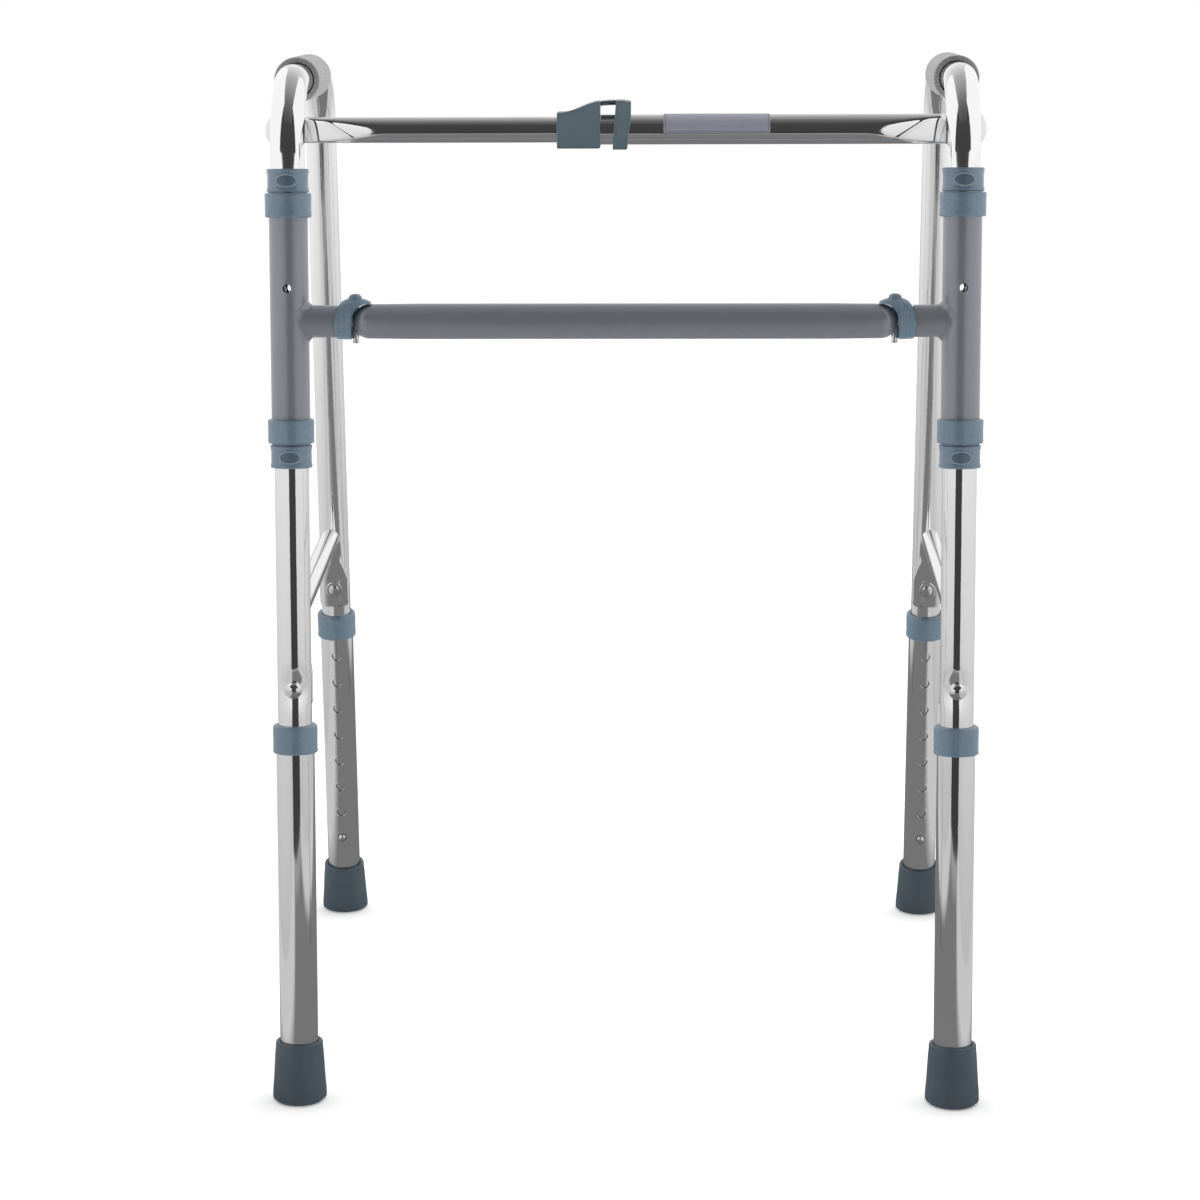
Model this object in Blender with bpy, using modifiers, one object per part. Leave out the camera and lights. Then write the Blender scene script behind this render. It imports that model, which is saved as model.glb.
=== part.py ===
"""Reciprocating walking frame: two side frames hinged to a front frame.

Units are metres, +Z is up, +X is the walker's right as seen from the front,
and -Y is the front, where the two cross bars are.
"""
import math

import bmesh
import bpy
from mathutils import Matrix, Vector

MM = 0.001
RAD = math.radians
ROUND = 20
SMALL = 16

# side frame
HALF_SPACING = 0.2475
FRONT_Y = -0.2349
FLOOR_DEPTH = 0.470
FRONT_LEAN = RAD(4.0)
REAR_LEAN = RAD(9.5)
SPLAY = RAD(1.9)
HANDLE_Z = 0.762
BEND_R = 0.055
TUBE_R = 12.7 * MM
TUBE_WALL = 1.2 * MM
LEG_END_Z = 0.056

# sliding clearances
CLEAR = 0.5 * MM
BORE_R = TUBE_R + CLEAR
OUTER_R = 14.3 * MM

# leg extensions
HOLE_PITCH = 25.4 * MM
HOLE_COUNT = 8
HOLE_R = 4.0 * MM
HOLE_Z = 0.0755
EXT_BOTTOM = 0.012
EXT_TOP = 0.2835
EXT_COLLAR = (0.2665, 0.2875)

# rubber tips
TIP_BASE_R = 20.7 * MM
TIP_RIM_R = 18.2 * MM
TIP_HEIGHT = 0.045

# front frame
STUB_Z = 0.5885
STUB_R = 11.9 * MM
BAR_R = 13.1 * MM
BAR_END_R = 12.7 * MM
PIN_X = 0.1986
PIN_R = 2.5 * MM
SLEEVE_Z = (0.5035, 0.677)
LOWER_BUSH_Z = (0.4985, 0.5165)
UPPER_BUSH_Z = (0.6645, 0.6825)
LOWER_STOP_Z = (0.4805, 0.4965)
UPPER_STOP_Z = (0.6835, 0.7000)
BUSH_R = 17.2 * MM
STOP_R = 15.5 * MM
SIGHT_HOLE_Z = 0.613
SIGHT_HOLE_R = 3.1 * MM

# side braces
BOLT_Z = 0.315
BRACE_Z = 0.365
BRACE_R = 8.0 * MM
BRACE_BEND = 0.034
PRESSED = 0.27

# upper bar and latch
UPPER_Z = 0.727
UPPER_BACK = 24.4 * MM
THICK_R = 11.1 * MM
THICK_BORE = 9.95 * MM
THIN_R = 9.5 * MM
THIN_WALL = 1.2 * MM
UPPER_END = 0.267

COLOURS = {
    "polished_aluminium": ((0.86, 0.86, 0.87), 0.16, 1.0),
    "grey_paint": ((0.21, 0.225, 0.255), 0.42, 0.0),
    "blue_grey_plastic": ((0.155, 0.235, 0.30), 0.5, 0.0),
    "latch_plastic": ((0.11, 0.165, 0.20), 0.5, 0.0),
    "grey_grip": ((0.48, 0.48, 0.48), 0.75, 0.0),
    "slate_rubber": ((0.05, 0.075, 0.095), 0.7, 0.0),
    "steel": ((0.62, 0.62, 0.63), 0.25, 1.0),
    "label_film": ((0.36, 0.35, 0.42), 0.5, 0.0),
}

for stale in list(bpy.data.objects):
    bpy.data.objects.remove(stale, do_unlink=True)

home = bpy.data.collections.new("walking_frame")
bpy.context.scene.collection.children.link(home)
shop = bpy.data.collections.new("cutters")
bpy.context.scene.collection.children.link(shop)

materials = {}
for mat_name, (colour, rough, metal) in COLOURS.items():
    mat = bpy.data.materials.new(mat_name)
    mat.use_nodes = True
    shader = mat.node_tree.nodes["Principled BSDF"]
    shader.inputs["Base Color"].default_value = (*colour, 1.0)
    shader.inputs["Roughness"].default_value = rough
    shader.inputs["Metallic"].default_value = metal
    materials[mat_name] = mat


# ---------------------------------------------------------------- tools
def tidy(bm):
    bmesh.ops.remove_doubles(bm, verts=bm.verts, dist=2e-6)
    bmesh.ops.recalc_face_normals(bm, faces=bm.faces)


def mesh_object(name, bm, group=shop):
    tidy(bm)
    mesh = bpy.data.meshes.new(name)
    bm.to_mesh(mesh)
    bm.free()
    ob = bpy.data.objects.new(name, mesh)
    group.objects.link(ob)
    return ob


def turned(profile, steps=ROUND, closed=True):
    """A solid of revolution about Z from (radius, height) points."""
    bm = bmesh.new()
    verts = [bm.verts.new((r, 0.0, z)) for r, z in profile]
    pairs = list(zip(verts, verts[1:]))
    if closed:
        pairs.append((verts[-1], verts[0]))
    edges = [bm.edges.new(p) for p in pairs]
    bmesh.ops.spin(
        bm,
        geom=verts + edges,
        cent=(0.0, 0.0, 0.0),
        axis=(0.0, 0.0, 1.0),
        angle=2.0 * math.pi,
        steps=steps,
        use_merge=True,
    )
    bmesh.ops.rotate(
        bm,
        verts=bm.verts,
        cent=(0.0, 0.0, 0.0),
        matrix=Matrix.Rotation(math.pi / steps, 3, "Z"),
    )
    return bm


def ring(r_in, r_out, z0, z1, steps=ROUND):
    return turned([(r_in, z0), (r_out, z0), (r_out, z1), (r_in, z1)], steps)


def rod(radius, z0, z1, steps=ROUND):
    return turned([(0.0, z0), (radius, z0), (radius, z1), (0.0, z1)], steps, False)


def block(size, centre):
    bm = bmesh.new()
    bmesh.ops.create_cube(bm, size=1.0)
    bmesh.ops.scale(bm, vec=size, verts=bm.verts)
    bmesh.ops.translate(bm, vec=centre, verts=bm.verts)
    return bm


def moved(bm, matrix):
    bmesh.ops.transform(bm, matrix=matrix, verts=bm.verts)
    return bm


def merged(parts):
    """Several separate closed bodies in one cutter mesh."""
    whole = bmesh.new()
    for part in parts:
        held = bpy.data.meshes.new("held")
        part.to_mesh(held)
        part.free()
        whole.from_mesh(held)
        bpy.data.meshes.remove(held)
    return whole


def baked(ob):
    graph = bpy.context.evaluated_depsgraph_get()
    graph.update()
    mesh = bpy.data.meshes.new_from_object(ob.evaluated_get(graph))
    bm = bmesh.new()
    bm.from_mesh(mesh)
    bpy.data.meshes.remove(mesh)
    return bm


def combine(base, tool, operation="DIFFERENCE"):
    """EXACT boolean of two bmeshes, returned as a bmesh."""
    body = mesh_object("body", base)
    cutter = mesh_object("cutter", tool)
    step = body.modifiers.new("cut", "BOOLEAN")
    step.operation = operation
    step.solver = "EXACT"
    step.object = cutter
    out = baked(body)
    for ob in (body, cutter):
        bpy.data.objects.remove(ob, do_unlink=True)
    tidy(out)
    bmesh.ops.dissolve_degenerate(out, dist=5e-6, edges=out.edges)
    return out


def swept(points, radius, steps=ROUND, caps=True):
    """A round bar along a polyline, made from a bevelled curve."""
    curve = bpy.data.curves.new("path", "CURVE")
    curve.dimensions = "3D"
    curve.twist_mode = "MINIMUM"
    curve.bevel_depth = radius
    curve.bevel_resolution = (steps - 4) // 2
    curve.use_fill_caps = caps
    line = curve.splines.new("POLY")
    line.points.add(len(points) - 1)
    for spot, p in zip(line.points, points):
        spot.co = (*p, 1.0)
    ob = bpy.data.objects.new("path", curve)
    shop.objects.link(ob)
    bm = baked(ob)
    bpy.data.objects.remove(ob, do_unlink=True)
    tidy(bm)
    return bm


def hollow(bm, wall):
    """An open skin turned into a tube wall that lies inside the skin."""
    ob = mesh_object("skin", bm)
    step = ob.modifiers.new("wall", "SOLIDIFY")
    step.thickness = wall
    step.offset = -1.0
    step.use_rim = True
    out = baked(ob)
    bpy.data.objects.remove(ob, do_unlink=True)
    tidy(out)
    return out


def arc(corner, before, after, radius, count):
    """Points of a rounded corner between two unit directions."""
    turn = before.angle(after)
    reach = radius * math.tan(turn / 2.0)
    start = corner - before * reach
    side = (after - before * after.dot(before)).normalized()
    centre = start + side * radius
    out = []
    for i in range(count + 1):
        a = turn * i / count
        out.append(centre - side * radius * math.cos(a) + before * radius * math.sin(a))
    return out


def crisp(ob):
    for poly in ob.data.polygons:
        poly.use_smooth = True
    ob.data.set_sharp_from_angle(angle=RAD(32.0))


# ------------------------------------------------------- reference frames
UP_F = Vector((0.0, math.sin(FRONT_LEAN), math.cos(FRONT_LEAN)))
UP_R = Vector((0.0, -math.sin(REAR_LEAN), math.cos(REAR_LEAN)))
BACK_F = Vector((0.0, math.cos(FRONT_LEAN), -math.sin(FRONT_LEAN)))
FORE_R = Vector((0.0, -math.cos(REAR_LEAN), -math.sin(REAR_LEAN)))
REAR_FOOT = Vector((0.0, FLOOR_DEPTH, 0.0))


def frame_matrix(origin, x_dir, y_dir, z_dir):
    m = Matrix.Identity(4)
    for row in range(3):
        m[row][0] = x_dir[row]
        m[row][1] = y_dir[row]
        m[row][2] = z_dir[row]
        m[row][3] = origin[row]
    return m


FRONT_LEG = frame_matrix(Vector(), Vector((1, 0, 0)), BACK_F, UP_F)
REAR_LEG = frame_matrix(REAR_FOOT, Vector((-1, 0, 0)), FORE_R, UP_R)
PLACE = Matrix.Translation((HALF_SPACING, FRONT_Y, 0.0))
SIDE_PLACE = PLACE @ Matrix.Rotation(-SPLAY, 4, UP_F)
ALONG_X = Matrix.Rotation(math.pi / 2.0, 4, "Y")
ALONG_Y = Matrix.Rotation(-math.pi / 2.0, 4, "X")


def leg_point(matrix, lean, z):
    return matrix @ Vector((0.0, 0.0, z / math.cos(lean)))


def publish(name, bm, material, place=None, both=False, stem=None):
    """Put a finished body in the walker, and its mirror twin if asked."""
    sides = (("right_", 1.0), ("left_", -1.0)) if both else (("", 1.0),)
    if place is not None:
        moved(bm, place)
    for prefix, sign in sides:
        copy = bm.copy()
        if sign < 0:
            moved(copy, Matrix.Scale(-1.0, 4, (1, 0, 0)))
            bmesh.ops.reverse_faces(copy, faces=copy.faces)
        ob = mesh_object(prefix + name, copy, home)
        ob.data.materials.append(materials[material])
        crisp(ob)
        pivot = ORIGINS.get(stem or name)
        if pivot is not None:
            at = Vector((pivot[0] * sign, pivot[1], pivot[2]))
            ob.data.transform(Matrix.Translation(-at))
            ob.location = at
    bm.free()


LEG_AXIS_STUB = PLACE @ leg_point(FRONT_LEG, FRONT_LEAN, STUB_Z)
LEG_AXIS_UPPER = PLACE @ leg_point(FRONT_LEG, FRONT_LEAN, UPPER_Z)
PIN_AT = Vector((PIN_X, LEG_AXIS_STUB.y, STUB_Z))
UPPER_Y = LEG_AXIS_UPPER.y + UPPER_BACK
ORIGINS = {
    "side": LEG_AXIS_STUB,
    "front_frame": PIN_AT,
}


# ------------------------------------------------------------- side tube
def side_path(front_low, rear_low):
    corner_f = leg_point(FRONT_LEG, FRONT_LEAN, HANDLE_Z)
    corner_r = leg_point(REAR_LEG, REAR_LEAN, HANDLE_Z)
    back = Vector((0.0, 1.0, 0.0))
    pts = [leg_point(FRONT_LEG, FRONT_LEAN, front_low)]
    pts += arc(corner_f, UP_F, back, BEND_R, 6)
    pts += arc(corner_r, back, -UP_R, BEND_R, 6)
    pts.append(leg_point(REAR_LEG, REAR_LEAN, rear_low))
    return pts


def leg_drill(matrix, lean, z, radius, y0, y1, steps=10):
    """A cylinder across a leg, from y0 to y1 in the leg's own frame."""
    hole = moved(rod(radius, y0, y1, steps), ALONG_Y)
    spot = Matrix.Translation((0.0, 0.0, z / math.cos(lean)))
    return moved(hole, matrix @ spot)


skin = swept(side_path(LEG_END_Z, LEG_END_Z), TUBE_R, caps=False)
side_tube = hollow(skin, TUBE_WALL)
drills = [
    leg_drill(FRONT_LEG, FRONT_LEAN, HOLE_Z, HOLE_R, 0.006, 0.020),
    leg_drill(REAR_LEG, REAR_LEAN, HOLE_Z, HOLE_R, 0.006, 0.020),
    leg_drill(FRONT_LEG, FRONT_LEAN, BOLT_Z, 3.4 * MM, -0.020, 0.020),
    leg_drill(REAR_LEG, REAR_LEAN, BOLT_Z, 3.4 * MM, -0.020, 0.020),
    leg_drill(FRONT_LEG, FRONT_LEAN, SIGHT_HOLE_Z, SIGHT_HOLE_R, -0.020, 0.020),
]
side_tube = combine(side_tube, merged(drills))
publish("side_tube", side_tube, "polished_aluminium", SIDE_PLACE, True, "side")

# ------------------------------------------------------------------ grips
GRIP_R = 17.6 * MM
GRIP_IN = TUBE_R + 0.45 * MM
GRIP_SPAN = (0.084, 0.196)
grip_profile = [
    (GRIP_IN, GRIP_SPAN[0]),
    (GRIP_R - 1.5 * MM, GRIP_SPAN[0]),
    (GRIP_R, GRIP_SPAN[0] + 1.5 * MM),
    (GRIP_R, GRIP_SPAN[1] - 1.5 * MM),
    (GRIP_R - 1.5 * MM, GRIP_SPAN[1]),
    (GRIP_IN, GRIP_SPAN[1]),
]
handle_start = leg_point(FRONT_LEG, FRONT_LEAN, HANDLE_Z)
grip = moved(turned(grip_profile), ALONG_Y)
moved(grip, Matrix.Translation(handle_start))
publish("hand_grip", grip, "grey_grip", SIDE_PLACE, True, "side")


# ---------------------------------------------------------------- braces
def brace_body():
    plate_gap = TUBE_R + CLEAR + 0.1 * MM + BRACE_R
    front_at = leg_point(FRONT_LEG, FRONT_LEAN, BOLT_Z) + BACK_F * plate_gap
    rear_at = leg_point(REAR_LEG, REAR_LEAN, BOLT_Z) + FORE_R * plate_gap
    back = Vector((0.0, 1.0, 0.0))
    corner_f = front_at + UP_F * ((BRACE_Z - front_at.z) / UP_F.z)
    corner_r = rear_at + UP_R * ((BRACE_Z - rear_at.z) / UP_R.z)
    pts = []
    for step in (-16.0, 10.0):
        pts.append(front_at + UP_F * step * MM)
    pts += arc(corner_f, UP_F, back, BRACE_BEND, 5)
    pts += arc(corner_r, back, -UP_R, BRACE_BEND, 5)
    for step in (10.0, -16.0):
        pts.append(rear_at + UP_R * step * MM)
    bm = swept(pts, BRACE_R, 16)
    middle = (pts[0] + pts[-1]) / 2.0
    press_ring(bm, pts)
    return bm, front_at, rear_at, middle


def press_ring(bm, pts):
    """Flatten both ends of the bar into plates across the legs."""
    run = [0.0]
    for a, b in zip(pts, pts[1:]):
        run.append(run[-1] + (b - a).length)
    total = run[-1]
    for vert in bm.verts:
        near = min(range(len(pts)), key=lambda i: (pts[i] - vert.co).length)
        reach = min(run[near], total - run[near])
        share = min(max((reach - 27.0 * MM) / (20.0 * MM), 0.0), 1.0)
        share = share * share * (3.0 - 2.0 * share)
        ahead = pts[min(near + 1, len(pts) - 1)] - pts[max(near - 1, 0)]
        ahead.normalize()
        flat = Vector((0.0, -ahead.z, ahead.y))
        off = vert.co - pts[near]
        along = ahead * off.dot(ahead)
        wide = off.x * (1.56 + (1.0 - 1.56) * share)
        squash = PRESSED + (1.0 - PRESSED) * share
        thin = flat * (off.dot(flat) * squash + BRACE_R * (1.0 - squash))
        vert.co = pts[near] + along + Vector((wide, 0.0, 0.0)) + thin


brace, plate_f, plate_r, _ = brace_body()
drills = [
    leg_drill(FRONT_LEG, FRONT_LEAN, BOLT_Z, 3.4 * MM, 0.008, 0.030),
    leg_drill(REAR_LEG, REAR_LEAN, BOLT_Z, 3.4 * MM, 0.008, 0.030),
]
brace = combine(brace, merged(drills))
publish("side_brace", brace, "polished_aluminium", SIDE_PLACE, True, "side")


# --------------------------------------------------------- brace rivets
def rivet(head_at, tail_at, side):
    """Domed head at one end, shank, and a flatter formed head."""
    s = side
    profile = [
        (0.0, head_at + s * 4.2 * MM),
        (3.2 * MM, head_at + s * 3.7 * MM),
        (5.6 * MM, head_at + s * 2.2 * MM),
        (7.0 * MM, head_at),
        (3.0 * MM, head_at),
        (3.0 * MM, tail_at),
        (5.0 * MM, tail_at),
        (4.6 * MM, tail_at - s * 1.8 * MM),
        (0.0, tail_at - s * 2.2 * MM),
    ]
    return moved(turned(profile, 12, False), ALONG_Y)


bolt_f = Matrix.Translation((0.0, 0.0, BOLT_Z / math.cos(FRONT_LEAN)))
bolt_r = Matrix.Translation((0.0, 0.0, BOLT_Z / math.cos(REAR_LEAN)))
PLATE_BACK = TUBE_R + CLEAR + 0.1 * MM + 2.0 * PRESSED * BRACE_R
front_rivet = moved(rivet(-TUBE_R - 0.3 * MM, PLATE_BACK + 0.3 * MM, -1.0), FRONT_LEG @ bolt_f)
publish("front_brace_rivet", front_rivet, "steel", SIDE_PLACE, True, "side")
rear_rivet = moved(rivet(PLATE_BACK + 0.3 * MM, -TUBE_R - 0.3 * MM, 1.0), REAR_LEG @ bolt_r)
publish("rear_brace_rivet", rear_rivet, "steel", SIDE_PLACE, True, "side")


# -------------------------------------------------------- leg extensions
def extension(lean):
    k = 1.0 / math.cos(lean)
    body = ring(BORE_R, OUTER_R, EXT_BOTTOM * k, EXT_TOP * k)
    tools = []
    for i in range(HOLE_COUNT):
        hole = moved(rod(HOLE_R, 0.009, 0.020, 8), ALONG_Y)
        height = HOLE_Z * k + i * HOLE_PITCH
        tools.append(moved(hole, Matrix.Translation((0.0, 0.0, height))))
    return combine(body, merged(tools))


def extension_collar(lean):
    k = 1.0 / math.cos(lean)
    z0 = EXT_COLLAR[0] * k
    z1 = EXT_COLLAR[1] * k
    seat = EXT_TOP * k + 0.4 * MM
    inner = OUTER_R + CLEAR
    profile = [
        (inner, z0),
        (16.8 * MM, z0),
        (16.8 * MM, z1 - 1.6 * MM),
        (15.6 * MM, z1),
        (BORE_R, z1),
        (BORE_R, seat),
        (inner, seat),
    ]
    return turned(profile, SMALL)


def tip(lean, place):
    """A cup of rubber, cut level where it meets the floor."""
    k = 1.0 / math.cos(lean)
    top = TIP_HEIGHT * k
    seat = EXT_BOTTOM * k - 0.5 * MM
    inner = OUTER_R + CLEAR
    profile = [
        (0.0, -8.0 * MM),
        (TIP_BASE_R, -8.0 * MM),
        (TIP_BASE_R, 7.0 * MM),
        (TIP_RIM_R + 0.4 * MM, 18.0 * MM),
        (TIP_RIM_R - 0.4 * MM, top - 7.0 * MM),
        (TIP_RIM_R, top - 5.5 * MM),
        (TIP_RIM_R, top),
        (inner, top),
        (inner, seat),
        (0.0, seat),
    ]
    body = moved(turned(profile, SMALL, False), place)
    geometry = list(body.verts) + list(body.edges) + list(body.faces)
    cut = bmesh.ops.bisect_plane(
        body,
        geom=geometry,
        dist=1e-6,
        plane_co=(0.0, 0.0, 0.0),
        plane_no=(0.0, 0.0, -1.0),
        clear_outer=True,
    )
    rim = [e for e in cut["geom_cut"] if isinstance(e, bmesh.types.BMEdge)]
    bmesh.ops.edgeloop_fill(body, edges=rim)
    for vert in body.verts:
        if abs(vert.co.z) < 1e-5:
            vert.co.z = 0.0
    tidy(body)
    rim = [e for e in body.edges if all(v.co.z == 0.0 for v in e.verts)]
    bmesh.ops.bevel(
        body,
        geom=rim,
        offset=2.0 * MM,
        segments=1,
        profile=0.5,
        affect="EDGES",
    )
    return body


# ------------------------------------------------------------ snap button
def snap_button():
    profile = [
        (0.0, 8.3 * MM),
        (4.9 * MM, 8.3 * MM),
        (4.9 * MM, 9.5 * MM),
        (3.45 * MM, 9.5 * MM),
        (3.45 * MM, 15.0 * MM),
        (2.7 * MM, 16.2 * MM),
        (1.4 * MM, 16.9 * MM),
        (0.0, 17.1 * MM),
    ]
    return moved(turned(profile, 12, False), ALONG_Y)


def leaf_spring():
    """A bent strip that lies behind the button, in the leg's own frame."""
    line = [(-9.6, -9.0), (-9.9, 6.0), (-7.2, 26.0), (-4.4, 30.0)]
    line += [(-1.6, 27.0), (0.6, 14.0), (2.6, 2.0), (2.6, -3.5)]
    bm = bmesh.new()
    verts = [bm.verts.new((-3.0 * MM, y * MM, z * MM)) for y, z in line]
    edges = [bm.edges.new(p) for p in zip(verts, verts[1:])]
    grown = bmesh.ops.extrude_edge_only(bm, edges=edges)
    far = [g for g in grown["geom"] if isinstance(g, bmesh.types.BMVert)]
    bmesh.ops.translate(bm, verts=far, vec=(6.0 * MM, 0.0, 0.0))
    ob = mesh_object("strip", bm)
    step = ob.modifiers.new("gauge", "SOLIDIFY")
    step.thickness = 0.5 * MM
    step.offset = 0.0
    out = baked(ob)
    bpy.data.objects.remove(ob, do_unlink=True)
    tidy(out)
    return out


for stem, matrix, lean in (("front", FRONT_LEG, FRONT_LEAN), ("rear", REAR_LEG, REAR_LEAN)):
    in_walker = SIDE_PLACE @ matrix
    at_button = in_walker @ Matrix.Translation((0.0, 0.0, HOLE_Z / math.cos(lean)))
    leg_key = stem + "_leg"
    ORIGINS[leg_key] = in_walker @ Vector((0.0, 0.0, EXT_TOP / math.cos(lean)))
    ORIGINS[stem + "_button"] = at_button @ Vector((0.0, OUTER_R, 0.0))
    publish(stem + "_leg_extension", extension(lean), "polished_aluminium", in_walker, True, leg_key)
    publish(stem + "_leg_collar", extension_collar(lean), "blue_grey_plastic", in_walker, True, leg_key)
    publish(stem + "_rubber_tip", tip(lean, in_walker), "slate_rubber", None, True, leg_key)
    publish(stem + "_snap_button", snap_button(), "steel", at_button, True, stem + "_button")
    publish(stem + "_button_spring", leaf_spring(), "steel", at_button, True, "side")

# ---------------------------------------------------- sleeves and bushes
K = 1.0 / math.cos(FRONT_LEAN)
sleeve = ring(BORE_R, OUTER_R, SLEEVE_Z[0] * K, SLEEVE_Z[1] * K)
sight = moved(rod(SIGHT_HOLE_R, -0.020, 0.020, 12), ALONG_Y)
moved(sight, Matrix.Translation((0.0, 0.0, SIGHT_HOLE_Z * K)))
sleeve = combine(sleeve, sight)
publish("hinge_sleeve", sleeve, "grey_paint", PLACE @ FRONT_LEG, True, "front_frame")


def bush(z0, z1, flange_low):
    """A flanged bush: the narrow bore runs on the leg, the wide one holds the sleeve."""
    lip = 4.0 * MM
    wide = OUTER_R + CLEAR
    if flange_low:
        inner = [(wide, z1), (wide, z0 + lip), (BORE_R, z0 + lip), (BORE_R, z0)]
    else:
        inner = [(BORE_R, z1), (BORE_R, z1 - lip), (wide, z1 - lip), (wide, z0)]
    outer = [(BUSH_R, z0), (BUSH_R, z1 - 0.8 * MM), (BUSH_R - 0.8 * MM, z1)]
    return turned(outer + inner, SMALL)


def toothed(body, z_face, direction):
    """Low dogs round the end face of a bush."""
    teeth = []
    for i in range(6):
        tooth = block((3.2 * MM, 4.6 * MM, 1.5 * MM), (14.9 * MM, 0.0, 0.0))
        moved(tooth, Matrix.Rotation(2.0 * math.pi * (i + 0.5) / 6.0, 4, "Z"))
        lift = z_face + direction * 0.45 * MM
        teeth.append(moved(tooth, Matrix.Translation((0.0, 0.0, lift))))
    return combine(body, merged(teeth), "UNION")


def stop_collar(z0, z1):
    """A waisted collar with an oval boss on its front."""
    waist = STOP_R - 0.5 * MM
    mid = (z0 + z1) / 2.0
    profile = [
        (BORE_R, z0),
        (STOP_R, z0),
        (STOP_R, z0 + 2.4 * MM),
        (waist, z0 + 3.6 * MM),
        (waist, z1 - 3.6 * MM),
        (STOP_R, z1 - 2.4 * MM),
        (STOP_R, z1),
        (BORE_R, z1),
    ]
    body = turned(profile, SMALL)
    oval = rod(5.2 * MM, 13.9 * MM, 16.4 * MM, 12)
    moved(oval, Matrix.Rotation(math.pi / 2.0, 4, "X"))
    moved(oval, Matrix.Diagonal((1.5, 1.0, 0.9, 1.0)))
    moved(oval, Matrix.Translation((0.0, 0.0, mid)))
    return combine(body, oval, "UNION")


lower_bush = bush(LOWER_BUSH_Z[0] * K, LOWER_BUSH_Z[1] * K, True)
lower_bush = toothed(lower_bush, LOWER_BUSH_Z[0] * K, -1.0)
publish("lower_hinge_bush", lower_bush, "blue_grey_plastic", PLACE @ FRONT_LEG, True, "front_frame")
upper_bush = bush(UPPER_BUSH_Z[0] * K, UPPER_BUSH_Z[1] * K, False)
publish("upper_hinge_bush", upper_bush, "blue_grey_plastic", PLACE @ FRONT_LEG, True, "front_frame")
low_stop = stop_collar(LOWER_STOP_Z[0] * K, LOWER_STOP_Z[1] * K)
publish("lower_stop_collar", low_stop, "blue_grey_plastic", SIDE_PLACE @ FRONT_LEG, True, "side")
high_stop = stop_collar(UPPER_STOP_Z[0] * K, UPPER_STOP_Z[1] * K)
publish("upper_stop_collar", high_stop, "blue_grey_plastic", SIDE_PLACE @ FRONT_LEG, True, "side")

# ------------------------------------------------ stubs, clips and pins
CLIP_R = 15.6 * MM
HOOD = 13.4 * MM
SEAT_R = 13.3 * MM
CLIP_X = (PIN_X - 11.8 * MM, PIN_X + 17.3 * MM)
STUB_X0 = PIN_X + SEAT_R + 2.0 * MM
stub_at = Matrix.Translation((0.0, PIN_AT.y, STUB_Z))

stub = ring(STUB_R - 1.6 * MM, STUB_R, STUB_X0 + 0.3 * MM, HALF_SPACING)
stub = moved(moved(stub, ALONG_X), stub_at)
mouth = rod(OUTER_R + 0.35 * MM, 0.50, 0.66)
stub = combine(stub, moved(mouth, PLACE @ FRONT_LEG))
far_half = block((0.06, 0.06, 0.06), (HALF_SPACING + 0.03, PIN_AT.y, STUB_Z))
stub = combine(stub, far_half)
publish("bar_stub", stub, "grey_paint", None, True, "front_frame")

clip_end = CLIP_R - 1.0 * MM
clip = turned(
    [
        (0.0, CLIP_X[0]),
        (clip_end, CLIP_X[0]),
        (CLIP_R, CLIP_X[0] + 1.0 * MM),
        (CLIP_R, CLIP_X[1] - 1.0 * MM),
        (clip_end, CLIP_X[1]),
        (0.0, CLIP_X[1]),
    ],
    ROUND,
    False,
)
clip = moved(moved(clip, ALONG_X), stub_at)
boss = turned(
    [
        (0.0, 12.0 * MM),
        (6.2 * MM, 12.0 * MM),
        (6.2 * MM, 18.4 * MM),
        (4.6 * MM, 20.3 * MM),
        (0.0, 20.9 * MM),
    ],
    16,
    False,
)
pin_place = Matrix.Translation(PIN_AT)
clip = combine(clip, moved(boss, pin_place), "UNION")
clip = combine(clip, moved(rod(SEAT_R, -0.030, HOOD, ROUND), pin_place))
clear_box = block(
    (0.030, 0.060, 0.030 + HOOD),
    (PIN_X - 0.015 + 0.0 * MM, PIN_AT.y, STUB_Z + (HOOD - 0.030) / 2.0),
)
clip = combine(clip, clear_box)
stub_seat = rod(STUB_R + CLEAR, STUB_X0, STUB_X0 + 0.020)
clip = combine(clip, moved(moved(stub_seat, ALONG_X), stub_at))
clip = combine(clip, moved(rod(PIN_R + CLEAR, 0.005, 0.0190, 16), pin_place))
publish("bar_clip", clip, "blue_grey_plastic", None, True, "front_frame")

pin = turned(
    [
        (0.0, -16.2 * MM),
        (1.9 * MM, -16.2 * MM),
        (PIN_R, -15.6 * MM),
        (PIN_R, 18.6 * MM),
        (0.0, 18.6 * MM),
    ],
    16,
    False,
)
publish("pivot_pin", moved(pin, pin_place), "steel", None, True, "front_frame")

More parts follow.
